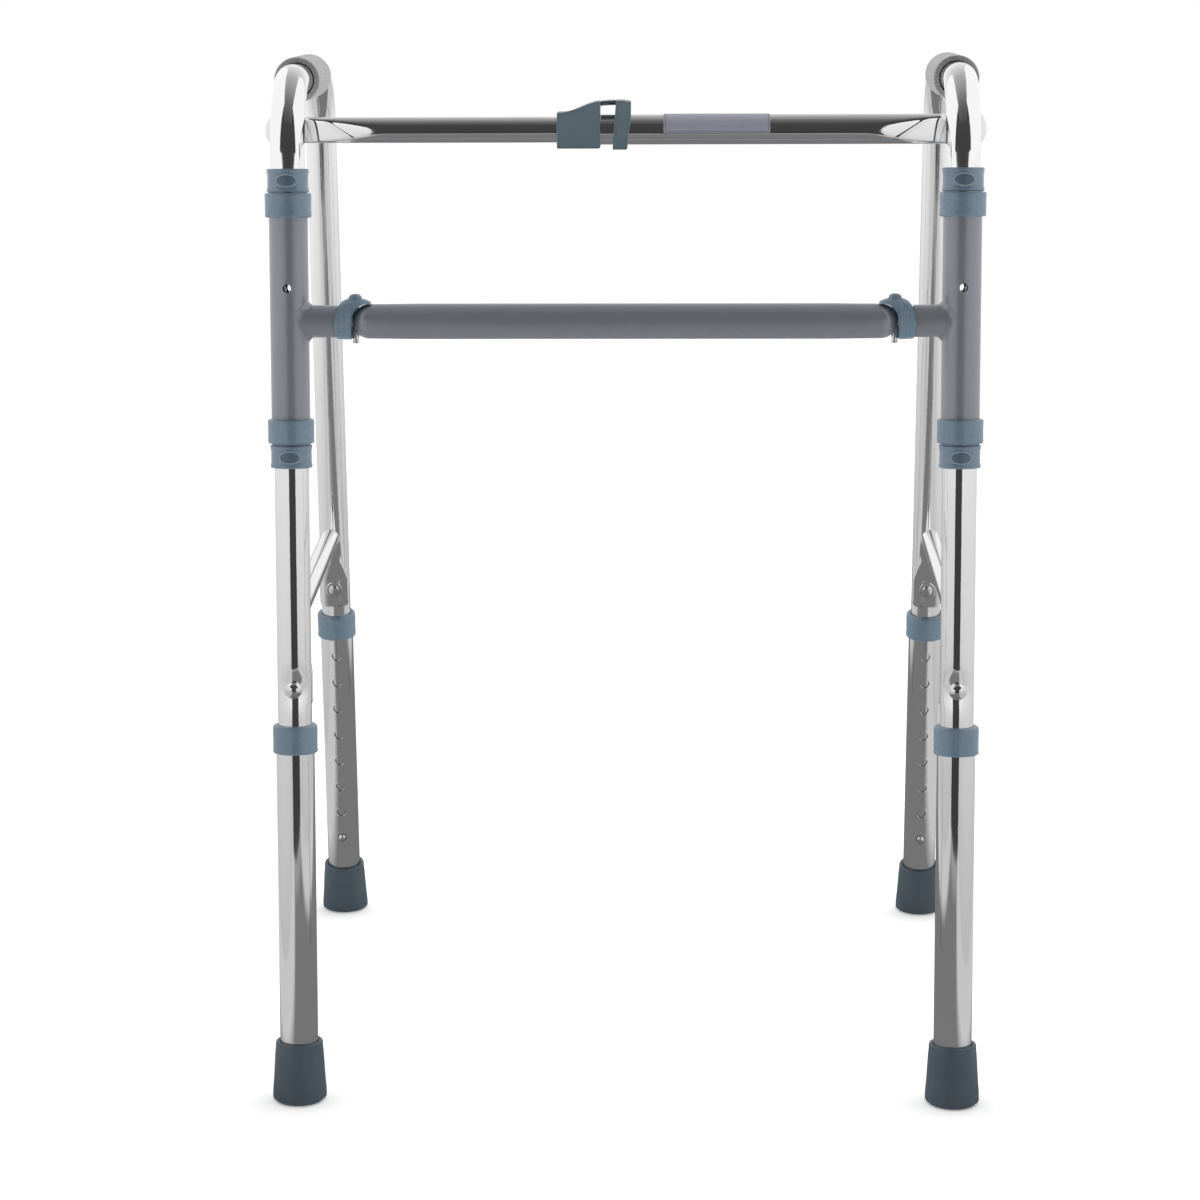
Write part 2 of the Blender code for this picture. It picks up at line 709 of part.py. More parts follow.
# --------------------------------------------------------- lower bar
bar_reach = PIN_X + 0.016
lower_bar = turned(
    [
        (BAR_END_R, -bar_reach),
        (BAR_END_R, -PIN_X + 0.004),
        (BAR_R, -PIN_X + 0.040),
        (BAR_R, PIN_X - 0.040),
        (BAR_END_R, PIN_X - 0.004),
        (BAR_END_R, bar_reach),
        (BAR_END_R - 1.5 * MM, bar_reach),
        (BAR_END_R - 1.5 * MM, -bar_reach),
    ]
)
lower_bar = moved(moved(lower_bar, ALONG_X), stub_at)
for sign in (1.0, -1.0):
    spot = Matrix.Translation((PIN_X * sign, PIN_AT.y, STUB_Z))
    end_box = block((0.040, 0.050, 0.050), (0.020 * sign, 0.0, 0.0))
    nose = rod(BAR_END_R - 0.1 * MM, -0.030, 0.030)
    end_cut = combine(end_box, nose)
    lower_bar = combine(lower_bar, moved(end_cut, spot))
    lower_bar = combine(lower_bar, moved(rod(PIN_R + CLEAR, -0.03, 0.03, 16), spot))
publish("lower_bar", lower_bar, "grey_paint")

# --------------------------------------------------------- upper bar
upper_at = Matrix.Translation((0.0, UPPER_Y, UPPER_Z))
THICK_START = -0.045


def round_end_tube(r_out, r_in, start, end, plug):
    """A tube along X whose far end is closed by a rounded plug of metal."""
    profile = [
        (0.0, end - plug),
        (r_in, end - plug),
        (r_in, start),
        (r_out, start),
        (r_out, end - r_out * 0.55),
        (r_out * 0.86, end - r_out * 0.22),
        (r_out * 0.55, end - r_out * 0.05),
        (0.0, end),
    ]
    return moved(turned(profile, ROUND, False), ALONG_X)


def leg_relief(margin, turns):
    """Room for the front leg, where the bar passes behind it."""
    parts = []
    path = side_path(0.66, 0.60)[:10]
    for angle in turns:
        body = swept(path, TUBE_R + margin, 20)
        parts.append(moved(body, PLACE @ Matrix.Rotation(-SPLAY + angle, 4, UP_F)))
    return parts


thick = moved(round_end_tube(THICK_R, THICK_BORE, THICK_START, UPPER_END, 0.055), upper_at)
for tool in leg_relief(3.2 * MM, (0.0,)) + leg_relief(1.4 * MM, (RAD(30), RAD(60))):
    thick = combine(thick, tool)
publish("upper_outer_tube", thick, "polished_aluminium")

THIN_END = 0.110
thin_local = round_end_tube(THIN_R, THIN_R - THIN_WALL, -THIN_END, UPPER_END, 0.055)
thin = moved(thin_local, upper_at)
for tool in leg_relief(3.2 * MM, (0.0,)) + leg_relief(1.4 * MM, (RAD(30), RAD(60))):
    thin = combine(thin, tool)
moved(thin, Matrix.Scale(-1.0, 4, (1, 0, 0)))
bmesh.ops.reverse_faces(thin, faces=thin.faces)
publish("upper_inner_tube", thin, "polished_aluminium")


# -------------------------------------------------------------- latch
def plate_solid(outline, half_width, bevel):
    """A side outline in X and Z, given thickness along Y with rounded long edges."""
    bm = bmesh.new()
    verts = [bm.verts.new((x * MM, -half_width, z * MM)) for x, z in outline]
    face = bm.faces.new(verts)
    grown = bmesh.ops.extrude_face_region(bm, geom=[face])
    far = [g for g in grown["geom"] if isinstance(g, bmesh.types.BMVert)]
    bmesh.ops.translate(bm, verts=far, vec=(0.0, 2.0 * half_width, 0.0))
    bmesh.ops.recalc_face_normals(bm, faces=bm.faces)
    long_edges = []
    for edge in bm.edges:
        a, b = edge.verts
        if abs(a.co.y - b.co.y) < 1e-7 and abs(a.co.x - b.co.x) > 1e-4:
            long_edges.append(edge)
    bmesh.ops.bevel(
        bm,
        geom=long_edges,
        offset=bevel,
        segments=3,
        profile=0.5,
        affect="EDGES",
    )
    return bm


housing_line = [(-50.0, -13.4), (-18.2, -13.4), (-18.2, 21.2), (-24.0, 19.9)]
housing_line += [(-32.0, 17.2), (-41.5, 13.4), (-50.0, 12.9)]
housing = plate_solid(housing_line, 14.0 * MM, 3.2 * MM)
housing = moved(housing, upper_at)
thick_bore = moved(moved(rod(THICK_R + CLEAR, -0.0455, 0.0), ALONG_X), upper_at)
housing = combine(housing, thick_bore)
thin_bore = moved(moved(rod(THIN_R + CLEAR, -0.060, -0.040), ALONG_X), upper_at)
housing = combine(housing, thin_bore)
publish("latch_housing", housing, "latch_plastic")

LEVER_PIVOT = Vector((-18.0 * MM, UPPER_Y, UPPER_Z + 19.0 * MM))
ORIGINS["latch_lever"] = LEVER_PIVOT
lever_line = [(-17.8, 17.2), (-6.9, 17.2), (-9.0, -14.2), (1.8, -14.2)]
lever_line += [(4.6, 20.4), (-1.0, 21.6), (-17.8, 21.4)]
lever = plate_solid(lever_line, 14.4 * MM, 2.6 * MM)
lever = moved(lever, upper_at)
lever_bore = moved(moved(rod(THICK_R + 1.7 * MM, -0.016, 0.016), ALONG_X), upper_at)
lever = combine(lever, lever_bore)
publish("latch_lever", lever, "latch_plastic", None, False, "latch_lever")

# ------------------------------------------------------------- label
label_in = THICK_R + 0.35 * MM
label_out = THICK_R + 0.65 * MM
label = ring(label_in, label_out, 0.0285, 0.1070, 48)
label = moved(label, ALONG_X)
away = block((0.2, 0.05, 0.05), (0.07, 0.0, -0.025 - 2.1 * MM))
label = combine(label, away)
behind = block((0.2, 0.05, 0.05), (0.07, 0.025 - 0.5 * MM, 0.0))
label = combine(label, behind)
publish("plain_label", moved(label, upper_at), "label_film")

for cutter in list(shop.objects):
    cutter.hide_render = True
    cutter.display_type = "WIRE"
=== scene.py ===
"""Visual model of the reciprocating walking frame: finer surfaces over the CAD frame.

Metres, +Z up, -Y is the front, +X is the right as seen from the front. Pieces that
come in pairs are built on the right and mirrored. Names ending in _Z are heights
above the floor; times KF or KR they are distances along a leaning leg.
"""
import math

import bmesh
import bpy
from mathutils import Matrix, Vector


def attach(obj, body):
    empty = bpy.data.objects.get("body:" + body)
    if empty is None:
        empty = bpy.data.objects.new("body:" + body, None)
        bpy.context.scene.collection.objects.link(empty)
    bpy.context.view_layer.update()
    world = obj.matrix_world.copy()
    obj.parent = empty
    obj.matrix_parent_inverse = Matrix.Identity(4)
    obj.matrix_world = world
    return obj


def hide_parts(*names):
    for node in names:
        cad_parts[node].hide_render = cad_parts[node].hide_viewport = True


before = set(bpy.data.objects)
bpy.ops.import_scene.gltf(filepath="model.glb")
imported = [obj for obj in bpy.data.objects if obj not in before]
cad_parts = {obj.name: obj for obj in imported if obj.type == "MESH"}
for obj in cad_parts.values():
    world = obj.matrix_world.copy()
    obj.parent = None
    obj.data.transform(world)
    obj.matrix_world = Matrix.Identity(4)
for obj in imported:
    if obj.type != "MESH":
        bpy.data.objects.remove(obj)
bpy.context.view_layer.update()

MM = 0.001
RAD = math.radians

# ------------------------------------------------------------ dimensions
HALF_SPACING = 0.2475
FRONT_Y = -0.2349
FLOOR_DEPTH = 0.470
FRONT_LEAN = RAD(4.0)
REAR_LEAN = RAD(9.5)
SPLAY = RAD(1.9)
HANDLE_Z = 0.762
BEND_R = 0.055
TUBE_R = 12.7 * MM
LEG_END_Z = 0.056
CLEAR = 0.5 * MM
BORE_R = TUBE_R + CLEAR
GRIP_R = 17.3 * MM
GRIP_ENDS = (0.084, 0.196)
# leg extensions, their holes, collars and tips
OUTER_R = 14.3 * MM
HOLE_PITCH = 25.4 * MM
HOLE_COUNT = 8
HOLE_R = 4.0 * MM
HOLE_Z = 0.0755
EXT_BOTTOM = 0.012
EXT_TOP = 0.2835
EXT_COLLAR = (0.2665, 0.2875)
EXT_COLLAR_R = 16.8 * MM
TIP_TOP_Z = 0.045
TIP_R = 20.35 * MM
# hinge sleeves, stubs, pins and the lower bar
SLEEVE_Z = (0.5035, 0.677)
SIGHT_HOLE_Z = 0.613
SIGHT_HOLE_R = 3.1 * MM
STUB_Z = 0.5885
STUB_R = 11.9 * MM
STUB_START = 13.5 * MM
BAR_R = 13.1 * MM
BAR_END_R = 12.7 * MM
NOSE_IN = 10.2 * MM
PIN_X = 0.1986
PIN_R = 2.5 * MM
# side braces: PRESSED is the share of the thickness left at the flattened ends
BOLT_Z = 0.315
BRACE_Z = 0.365
BRACE_R = 8.0 * MM
BRACE_BEND = 0.034
PRESSED = 0.27
PRESSED_LENGTH = 27.0 * MM
PRESSED_BLEND = 20.0 * MM
SHANK_R = 2.9 * MM
# upper bar
UPPER_Z = 0.727
UPPER_BACK = 24.4 * MM
THICK_R = 11.1 * MM
THIN_R = 9.5 * MM
UPPER_END = 0.267

UP_F = Vector((0.0, math.sin(FRONT_LEAN), math.cos(FRONT_LEAN)))
UP_R = Vector((0.0, -math.sin(REAR_LEAN), math.cos(REAR_LEAN)))
BACK_F = Vector((0.0, math.cos(FRONT_LEAN), -math.sin(FRONT_LEAN)))
FORE_R = Vector((0.0, -math.cos(REAR_LEAN), -math.sin(REAR_LEAN)))
BACK = Vector((0.0, 1.0, 0.0))
REAR_FOOT = Vector((0.0, FLOOR_DEPTH, 0.0))
KF = 1.0 / math.cos(FRONT_LEAN)
KR = 1.0 / math.cos(REAR_LEAN)


def frame_matrix(origin, *axes):
    m = Matrix.Identity(4)
    for row in range(3):
        for column, axis in enumerate((*axes, origin)):
            m[row][column] = axis[row]
    return m


FRONT_LEG = frame_matrix(Vector(), Vector((1, 0, 0)), BACK_F, UP_F)
REAR_LEG = frame_matrix(REAR_FOOT, Vector((-1, 0, 0)), FORE_R, UP_R)
# name, place, distance along the leg per height, and the direction into the frame
LEGS = (("front", FRONT_LEG, KF, BACK_F), ("rear", REAR_LEG, KR, FORE_R))
PLACE = Matrix.Translation((HALF_SPACING, FRONT_Y, 0.0))
SIDE_PLACE = PLACE @ Matrix.Rotation(-SPLAY, 4, UP_F)
FLIP = Matrix.Scale(-1.0, 4, (1, 0, 0))
ALONG_X = Matrix.Rotation(math.pi / 2.0, 4, "Y")
ALONG_Y = Matrix.Rotation(-math.pi / 2.0, 4, "X")


def leg_point(matrix, lean, z):
    return matrix @ Vector((0.0, 0.0, z / math.cos(lean)))


PIN_Y = (PLACE @ leg_point(FRONT_LEG, FRONT_LEAN, STUB_Z)).y
UPPER_Y = (PLACE @ leg_point(FRONT_LEG, FRONT_LEAN, UPPER_Z)).y + UPPER_BACK
BAR_AT = Matrix.Translation((0.0, PIN_Y, STUB_Z))
PIN_AT = Matrix.Translation((PIN_X, PIN_Y, STUB_Z))
UPPER_AT = Matrix.Translation((0.0, UPPER_Y, UPPER_Z))


# ------------------------------------------------------------- materials
class Nodes:
    """Short way to build the node tree of a material or of the world."""

    def __init__(self, owner):
        owner.use_nodes = True
        self.owner = owner
        self.tree = owner.node_tree
        self.shader = self.tree.nodes.get("Principled BSDF")

    def give(self, socket, value):
        """Set a socket to a number or colour, or link another node's output to it."""
        if isinstance(value, bpy.types.NodeSocket):
            self.tree.links.new(value, socket)
        else:
            socket.default_value = value

    def node(self, kind, *terms, **values):
        """A new node: terms go to its sockets in order, names are properties or sockets."""
        made = self.tree.nodes.new("ShaderNode" + kind)
        for socket, value in zip(made.inputs, terms):
            self.give(socket, value)
        for key, value in values.items():
            if hasattr(made, key):
                setattr(made, key, value)
            else:
                self.give(made.inputs[key.replace("_", " ")], value)
        return made

    def put(self, **values):
        """Fill the shader's own sockets."""
        for key, value in values.items():
            self.give(self.shader.inputs[key.replace("_", " ")], value)

    def finish(self, shader):
        """Use another shader than the first one."""
        self.give(self.tree.nodes["Material Output"].inputs["Surface"], shader)

    def coords(self, scale):
        where = self.node("TexCoord").outputs["Object"]
        return self.node("Mapping", Vector=where, Scale=scale).outputs["Vector"]

    def noise(self, scale, detail=3.0, stretch=(1, 1, 1)):
        tex = self.node("TexNoise", Scale=scale, Detail=detail, Roughness=0.55)
        self.give(tex.inputs["Vector"], self.coords(stretch))
        return tex.outputs["Fac"]

    def span(self, fac, low, high, a=0.3, b=0.7):
        """A factor mapped to a range of numbers."""
        return self.node("MapRange", fac, a, b, low, high).outputs["Result"]

    def ramp(self, fac, stops):
        """A factor mapped to colours, given as (position, colour) stops."""
        ramp = self.node("ValToRGB", fac)
        marks = ramp.color_ramp.elements
        while len(marks) < len(stops):
            marks.new(0.5)
        for mark, (at, colour) in zip(marks, stops):
            mark.position = at
            mark.color = (*colour, 1.0)
        return ramp.outputs["Color"]

    def shade(self, fac, dark, light):
        return self.ramp(fac, ((0.3, dark), (0.7, light)))

    def bump(self, fac, strength, depth, **under):
        made = self.node("Bump", Strength=strength, Distance=depth, Height=fac, **under)
        return made.outputs["Normal"]

    def calc(self, operation, *terms):
        return self.node("Math", *terms, operation=operation).outputs[0]

    def place(self, axis):
        """X, Y or Z of the shaded point, in the scene."""
        spot = self.node("NewGeometry").outputs["Position"]
        return self.node("SeparateXYZ", spot).outputs[axis]


MATS = {}


def new_material(name):
    m = Nodes(bpy.data.materials.new(name))
    MATS[name] = m.owner
    return m


def polished(name, tint, low, high, stretch):
    m = new_material(name)
    lines = m.noise(900.0, 2.0, stretch)
    smear = m.noise(24.0, 3.0, (1, 1, 0.3))
    rough = m.calc("ADD", m.span(smear, low, high), m.span(lines, -0.015, 0.02))
    wave = m.bump(m.noise(5.5, 2.0), 0.035, 0.004, Normal=m.bump(lines, 0.05, 0.0002))
    haze = m.shade(m.noise(9.0, 4.0), [c * 0.965 for c in tint], tint)
    m.put(Metallic=1.0, Base_Color=haze, Roughness=rough, Normal=wave)


polished("polished_leg", (0.93, 0.93, 0.935), 0.035, 0.085, (1, 1, 0.012))
polished("polished_bar", (0.93, 0.93, 0.935), 0.035, 0.085, (0.012, 1, 1))
polished("steel", (0.80, 0.80, 0.81), 0.08, 0.17, (1, 1, 1))

paint = new_material("grey_paint")
paint.put(Metallic=0.38, Coat_Weight=0.5, Coat_Roughness=0.14, Specular_IOR_Level=0.6)
paint.put(
    Base_Color=paint.shade(paint.noise(2600.0, 1.0), (0.240, 0.254, 0.290), (0.290, 0.304, 0.344)),
    Roughness=paint.span(paint.noise(14.0), 0.33, 0.40),
    Normal=paint.bump(paint.noise(420.0, 2.0), 0.10, 0.0003),
)


def moulded(name, dark, light, rough, grain, strength, shine=0.45):
    m = new_material(name)
    fine = m.noise(grain, 2.0)
    m.put(
        Base_Color=m.shade(m.noise(34.0, 4.0), dark, light),
        Roughness=m.span(fine, rough - 0.05, rough + 0.07),
        Normal=m.bump(fine, strength, 0.0003),
        Specular_IOR_Level=shine,
    )


moulded("blue_grey_plastic", (0.130, 0.206, 0.278), (0.154, 0.236, 0.314), 0.28, 1500.0, 0.07, 1.0)
moulded("latch_plastic", (0.122, 0.174, 0.212), (0.142, 0.200, 0.240), 0.36, 1500.0, 0.08, 0.7)
# the lighter rim colour is a painted highlight: the light that the raised oval ring round each
# button catches
moulded("button_rim", (0.205, 0.295, 0.365), (0.235, 0.33, 0.40), 0.26, 1500.0, 0.05, 0.95)
# the darker pad colour is painted shade: the shade in the recess inside each button's ring
moulded("button_pad", (0.078, 0.122, 0.162), (0.092, 0.140, 0.184), 0.34, 1500.0, 0.06, 0.6)
moulded("slate_rubber", (0.054, 0.081, 0.104), (0.071, 0.103, 0.130), 0.44, 1100.0, 0.18, 0.6)
moulded("label_edge", (0.17, 0.17, 0.24), (0.20, 0.20, 0.27), 0.4, 900.0, 0.05)
# a dark matte colour for flat figures on the metal: painted shade of stamped grooves
moulded("painted_groove_shade", (0.13, 0.13, 0.135), (0.19, 0.19, 0.195), 0.45, 900.0, 0.1)

foam = new_material("grey_grip")
foam.put(Roughness=0.86, Specular_IOR_Level=0.2, Sheen_Weight=0.12)
bubbles = foam.node("TexVoronoi", Vector=foam.coords((1, 1, 1)), Scale=1300.0)
foam.put(
    Base_Color=foam.shade(foam.noise(60.0, 4.0), (0.36, 0.36, 0.36), (0.43, 0.43, 0.425)),
    Normal=foam.bump(bubbles.outputs["Distance"], 0.35, 0.0004),
)

film = new_material("label_film")
film.put(Coat_Weight=0.4, Coat_Roughness=0.15)
grain = film.noise(700.0, 2.0)
film.put(
    Base_Color=film.shade(grain, (0.345, 0.345, 0.425), (0.375, 0.375, 0.455)),
    Roughness=film.span(grain, 0.30, 0.38),
)


# ---------------------------------------------------------- mesh helpers
def add(name, data):
    """A new object in the scene."""
    ob = bpy.data.objects.new(name, data)
    bpy.context.scene.collection.objects.link(ob)
    return ob


def as_mesh(bm, name):
    """A new mesh from a bmesh, which is used up."""
    mesh = bpy.data.meshes.new(name)
    bm.to_mesh(mesh)
    bm.free()
    return mesh


def evaluated(ob):
    """A new bmesh of an object as it looks with its modifiers."""
    graph = bpy.context.evaluated_depsgraph_get()
    graph.update()
    mesh = bpy.data.meshes.new_from_object(ob.evaluated_get(graph))
    bm = bmesh.new()
    bm.from_mesh(mesh)
    bpy.data.meshes.remove(mesh)
    return bm


def outwards(bm):
    bmesh.ops.recalc_face_normals(bm, faces=bm.faces)
    return bm


def moved(bm, matrix):
    bmesh.ops.transform(bm, matrix=matrix, verts=bm.verts)
    return bm


def flipped(bm):
    """The mirror twin."""
    moved(bm, FLIP)
    bmesh.ops.reverse_faces(bm, faces=bm.faces)
    return bm


def show(stem, bm, material, body, nodes=(), both=False, place=None, angle=35.0, pad=None):
    """Put a finished surface in the scene, and its mirror twin if asked."""
    if place is not None:
        moved(bm, place)
    for prefix in ("right_", "left_") if both else ("",):
        copy = bm.copy()
        if prefix == "left_":
            flipped(copy)
        name = "show_" + prefix + stem
        mesh = as_mesh(copy, name)
        for poly in mesh.polygons:
            poly.use_smooth = True
        mesh.set_sharp_from_angle(angle=RAD(angle))
        mesh.materials.append(MATS[material])
        ob = add(name, mesh)
        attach(ob, prefix + body)
        if nodes:
            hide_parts(*[prefix + n for n in nodes])
    bm.free()


def show_side(stem, bm, material, body, place=SIDE_PLACE, **more):
    """A pair of pieces, each of which stands for the CAD node of the same name."""
    show(stem, bm, material, body, [stem], True, place, **more)


def mm(*points):
    """Points given in millimetres, in metres."""
    return [(a * MM, b * MM) for a, b in points]


def clamp(value):
    return min(max(value, 0.0), 1.0)


def turns(count):
    """Angles once round."""
    return [2.0 * math.pi * k / count for k in range(count)]


def quarter(count):
    """Angles from above zero to a right angle."""
    return [math.pi / 2.0 * k / count for k in range(1, count + 1)]


def soften(points, radius, count=4, closed=False):
    """A profile with its corners rounded."""
    out = []
    n = len(points)
    for i, p in enumerate(points):
        if not closed and i in (0, n - 1):
            out.append(p)
            continue
        a = Vector(points[i - 1])
        b = Vector(points[(i + 1) % n])
        c = Vector(p)
        into = c - a
        off = b - c
        reach = min(radius, 0.48 * into.length, 0.48 * off.length)
        start = c - into.normalized() * reach
        end = c + off.normalized() * reach
        for k in range(count + 1):
            t = k / count
            q = start * (1 - t) ** 2 + c * 2 * t * (1 - t) + end * t * t
            out.append((q.x, q.y))
    return out


def lathe(profile, steps=72, closed=False):
    """A surface of revolution about Z from (radius, height) points."""
    bm = bmesh.new()
    rings = []
    for r, z in profile:
        spots = [(0.0, 0.0, z)]
        if r > 1e-7:
            spots = [(r * math.cos(a), r * math.sin(a), z) for a in turns(steps)]
        rings.append([bm.verts.new(p) for p in spots])
    pairs = list(zip(rings, rings[1:]))
    if closed:
        pairs.append((rings[-1], rings[0]))
    for low, high in pairs:
        for i in range(steps):
            j = (i + 1) % steps
            quad = []
            for ring, k in ((low, i), (low, j), (high, j), (high, i)):
                v = ring[k % len(ring)]
                if v not in quad:
                    quad.append(v)
            if len(quad) > 2:
                bm.faces.new(quad)
    return outwards(bm)


def stitch(bm, low, high):
    """Faces between two closed rings of as many vertices."""
    n = len(low)
    for i in range(n):
        j = (i + 1) % n
        bm.faces.new((low[i], low[j], high[j], high[i]))


def loft(rings, caps=True):
    """Skin over rings of points that all have the same count."""
    bm = bmesh.new()
    made = [[bm.verts.new(p) for p in ring] for ring in rings]
    for low, high in zip(made, made[1:]):
        stitch(bm, low, high)
    if caps:
        bm.faces.new(made[0])
        bm.faces.new(made[-1])
    return outwards(bm)


def joined(parts):
    whole = bmesh.new()
    for part in parts:
        held = as_mesh(part, "held")
        whole.from_mesh(held)
        bpy.data.meshes.remove(held)
    return whole


def combine(base, tool, operation="DIFFERENCE"):
    """EXACT boolean of two closed bmeshes."""
    held = [add("work", as_mesh(outwards(bm), "work")) for bm in (base, tool)]
    step = held[0].modifiers.new("cut", "BOOLEAN")
    step.operation = operation
    step.solver = "EXACT"
    step.object = held[1]
    out = evaluated(held[0])
    for ob in held:
        bpy.data.objects.remove(ob, do_unlink=True)
    bmesh.ops.remove_doubles(out, verts=out.verts, dist=2e-6)
    return out


def rod(radius, z0, z1, steps=72):
    return lathe([(0.0, z0), (radius, z0), (radius, z1), (0.0, z1)], steps)


def arc(corner, before, after, radius, count):
    """Stations (point, direction) of a rounded corner."""
    turn = before.angle(after)
    reach = radius * math.tan(turn / 2.0)
    start = corner - before * reach
    side = (after - before * after.dot(before)).normalized()
    centre = start + side * radius
    out = []
    for i in range(count + 1):
        a = turn * i / count
        point = centre - side * radius * math.cos(a) + before * radius * math.sin(a)
        out.append((point, before * math.cos(a) + side * math.sin(a)))
    return out


def outward(direction):
    """Outer side of the U that the side tube makes."""
    return Vector((0.0, -direction.z, direction.y))


def around(point, out, r, angle):
    """A spot round an axis through point, with the angle counted from out."""
    return point + Vector((r * math.sin(angle), 0.0, 0.0)) + out * (r * math.cos(angle))


COLUMNS = 72
CELL_FRACTION = 2.0 * math.pi / COLUMNS
HALF_PATCH = 5  # rows and columns from a hole's middle to the edge of its patch
# a hole's rings, from the patch inwards: share of roundness, size, depth in mm
HOLE_RINGS = ((0.5, 1.18, 0.0), (1.0, 1.18, 0.0), (1.0, 1.09, -0.05), (1.0, 1.03, 0.04))
HOLE_RINGS += ((1.0, 1.0, 0.25), (1.0, 1.0, 1.05))


def tube_skin(stations, radius, holes=(), press=None):
    """Tube surface over (point, direction) stations, with round holes.

    holes: (station index, column, hole radius); the stations around a hole are
    spaced as the columns are.
    """
    bm = bmesh.new()
    cell = radius * CELL_FRACTION
    half = HALF_PATCH

    def spot(angle, point, direction, r):
        out = outward(direction)
        p = around(point, out, r, angle)
        if press is not None:
            p = p - out * press(angle, point)
        return p

    def near_holes(first, last):
        """Places (row, column), counted from each hole's middle."""
        found = set()
        for row, col, _ in holes:
            for dr in range(first, last):
                for dc in range(first, last):
                    found.add((row + dr, (col + dc) % COLUMNS))
        return found

    skip = near_holes(-half + 1, half)
    verts = {}
    for i, (point, direction) in enumerate(stations):
        for c in range(COLUMNS):
            if (i, c) not in skip:
                verts[i, c] = bm.verts.new(spot(c * CELL_FRACTION, point, direction, radius))
    empty = near_holes(-half, half)
    for i in range(len(stations) - 1):
        for c in range(COLUMNS):
            if (i, c) in empty:
                continue
            d = (c + 1) % COLUMNS
            bm.faces.new((verts[i, c], verts[i, d], verts[i + 1, d], verts[i + 1, c]))
    loop = [(-half, k) for k in range(-half, half)]
    loop += [(k, half) for k in range(-half, half)]
    loop += [(half, k) for k in range(half, -half, -1)]
    loop += [(k, -half) for k in range(half, -half, -1)]
    for row, col, hole in holes:
        point, direction = stations[row]
        last = [verts[row + dr, (col + dc) % COLUMNS] for dr, dc in loop]
        for share, scale, depth in HOLE_RINGS:
            ring = []
            for dr, dc in loop:
                a = math.atan2(dr, dc)
                u = (1 - share) * dc * cell + share * hole * scale * math.cos(a)
                s = (1 - share) * dr * cell + share * hole * scale * math.sin(a)
                angle = col * CELL_FRACTION + u / radius
                p = spot(angle, point + direction * s, direction, radius - depth * MM)
                ring.append(bm.verts.new(p))
            stitch(bm, last, ring)
            last = ring
    return outwards(bm)


def leg_stations(matrix, values):
    """Straight stations at distances along a leg, in the direction of the U."""
    ahead = UP_F if matrix is FRONT_LEG else -UP_R
    return [(matrix @ Vector((0.0, 0.0, v)), ahead) for v in values]


def spread(a, b, step):
    """Even values from a up to, but without, b."""
    n = max(1, int(round((b - a) / step)))
    return [a + (b - a) * i / n for i in range(n)]


def hole_rows(mark, radius):
    """Rows for a hole at a mark, spaced as the columns are."""
    cell = radius * CELL_FRACTION
    return [mark + j * cell for j in range(-HALF_PATCH, HALF_PATCH + 1)]


def row_of(mark, values):
    return min(range(len(values)), key=lambda i: abs(values[i] - mark))


# ------------------------------------------------------------- side tube
bolt = BOLT_Z * KF
sight = SIGHT_HOLE_Z * KF
rows = spread(LEG_END_Z * KF, bolt - 0.030, 0.03)
rows += spread(bolt - 0.030, bolt + 0.030, 0.0014)
rows += spread(bolt + 0.030, sight - 0.012, 0.04)
rows += hole_rows(sight, TUBE_R)
rows += spread(sight + 0.012, 0.690, 0.03)
stations = leg_stations(FRONT_LEG, rows)
corner_f = leg_point(FRONT_LEG, FRONT_LEAN, HANDLE_Z)
corner_r = leg_point(REAR_LEG, REAR_LEAN, HANDLE_Z)
stations += arc(corner_f, UP_F, BACK, BEND_R, 22)
stations += arc(corner_r, BACK, -UP_R, BEND_R, 22)
for z in (0.66, 0.6, 0.5, 0.4, 0.3, 0.2, 0.12, LEG_END_Z):
    stations.append((leg_point(REAR_LEG, REAR_LEAN, z), -UP_R))
bolt_point = leg_point(FRONT_LEG, FRONT_LEAN, BOLT_Z)


def dimple(angle, point):
    """The wall is drawn in under the rivet on the front of the leg."""
    away = (point - bolt_point).length
    if away > 0.035 or math.cos(angle) < 0.0:
        return 0.0
    fall = math.exp(-((away / 0.0115) ** 2))
    wide = clamp((math.cos(angle) - 0.18) / 0.70)
    return 2.5 * MM * fall * wide * wide * (3.0 - 2.0 * wide)


def sight_holes(values):
    """The cross hole's two mouths, front and back."""
    row = row_of(sight, values)
    return [(row, c, SIGHT_HOLE_R) for c in (0, COLUMNS // 2)]


body = tube_skin(stations, TUBE_R, sight_holes(rows), dimple)
show_side("side_tube", body, "polished_leg", "side")

# ------------------------------------------------------------------ grip
start, end = GRIP_ENDS
grip_line = soften([(BORE_R, start), (GRIP_R, start), (GRIP_R, end), (BORE_R, end)], 1.5 * MM, 5)
fine = []
for (r0, z0), (r1, z1) in zip(grip_line, grip_line[1:]):
    parts = 24 if abs(z1 - z0) > 0.05 else 1
    for k in range(parts):
        t = k / parts
        fine.append((r0 + (r1 - r0) * t, z0 + (z1 - z0) * t))
fine.append(grip_line[-1])
grip = moved(lathe(fine, 64), ALONG_Y)
moved(grip, Matrix.Translation(corner_f))
show_side("hand_grip", grip, "grey_grip", "side", pad=1.0)

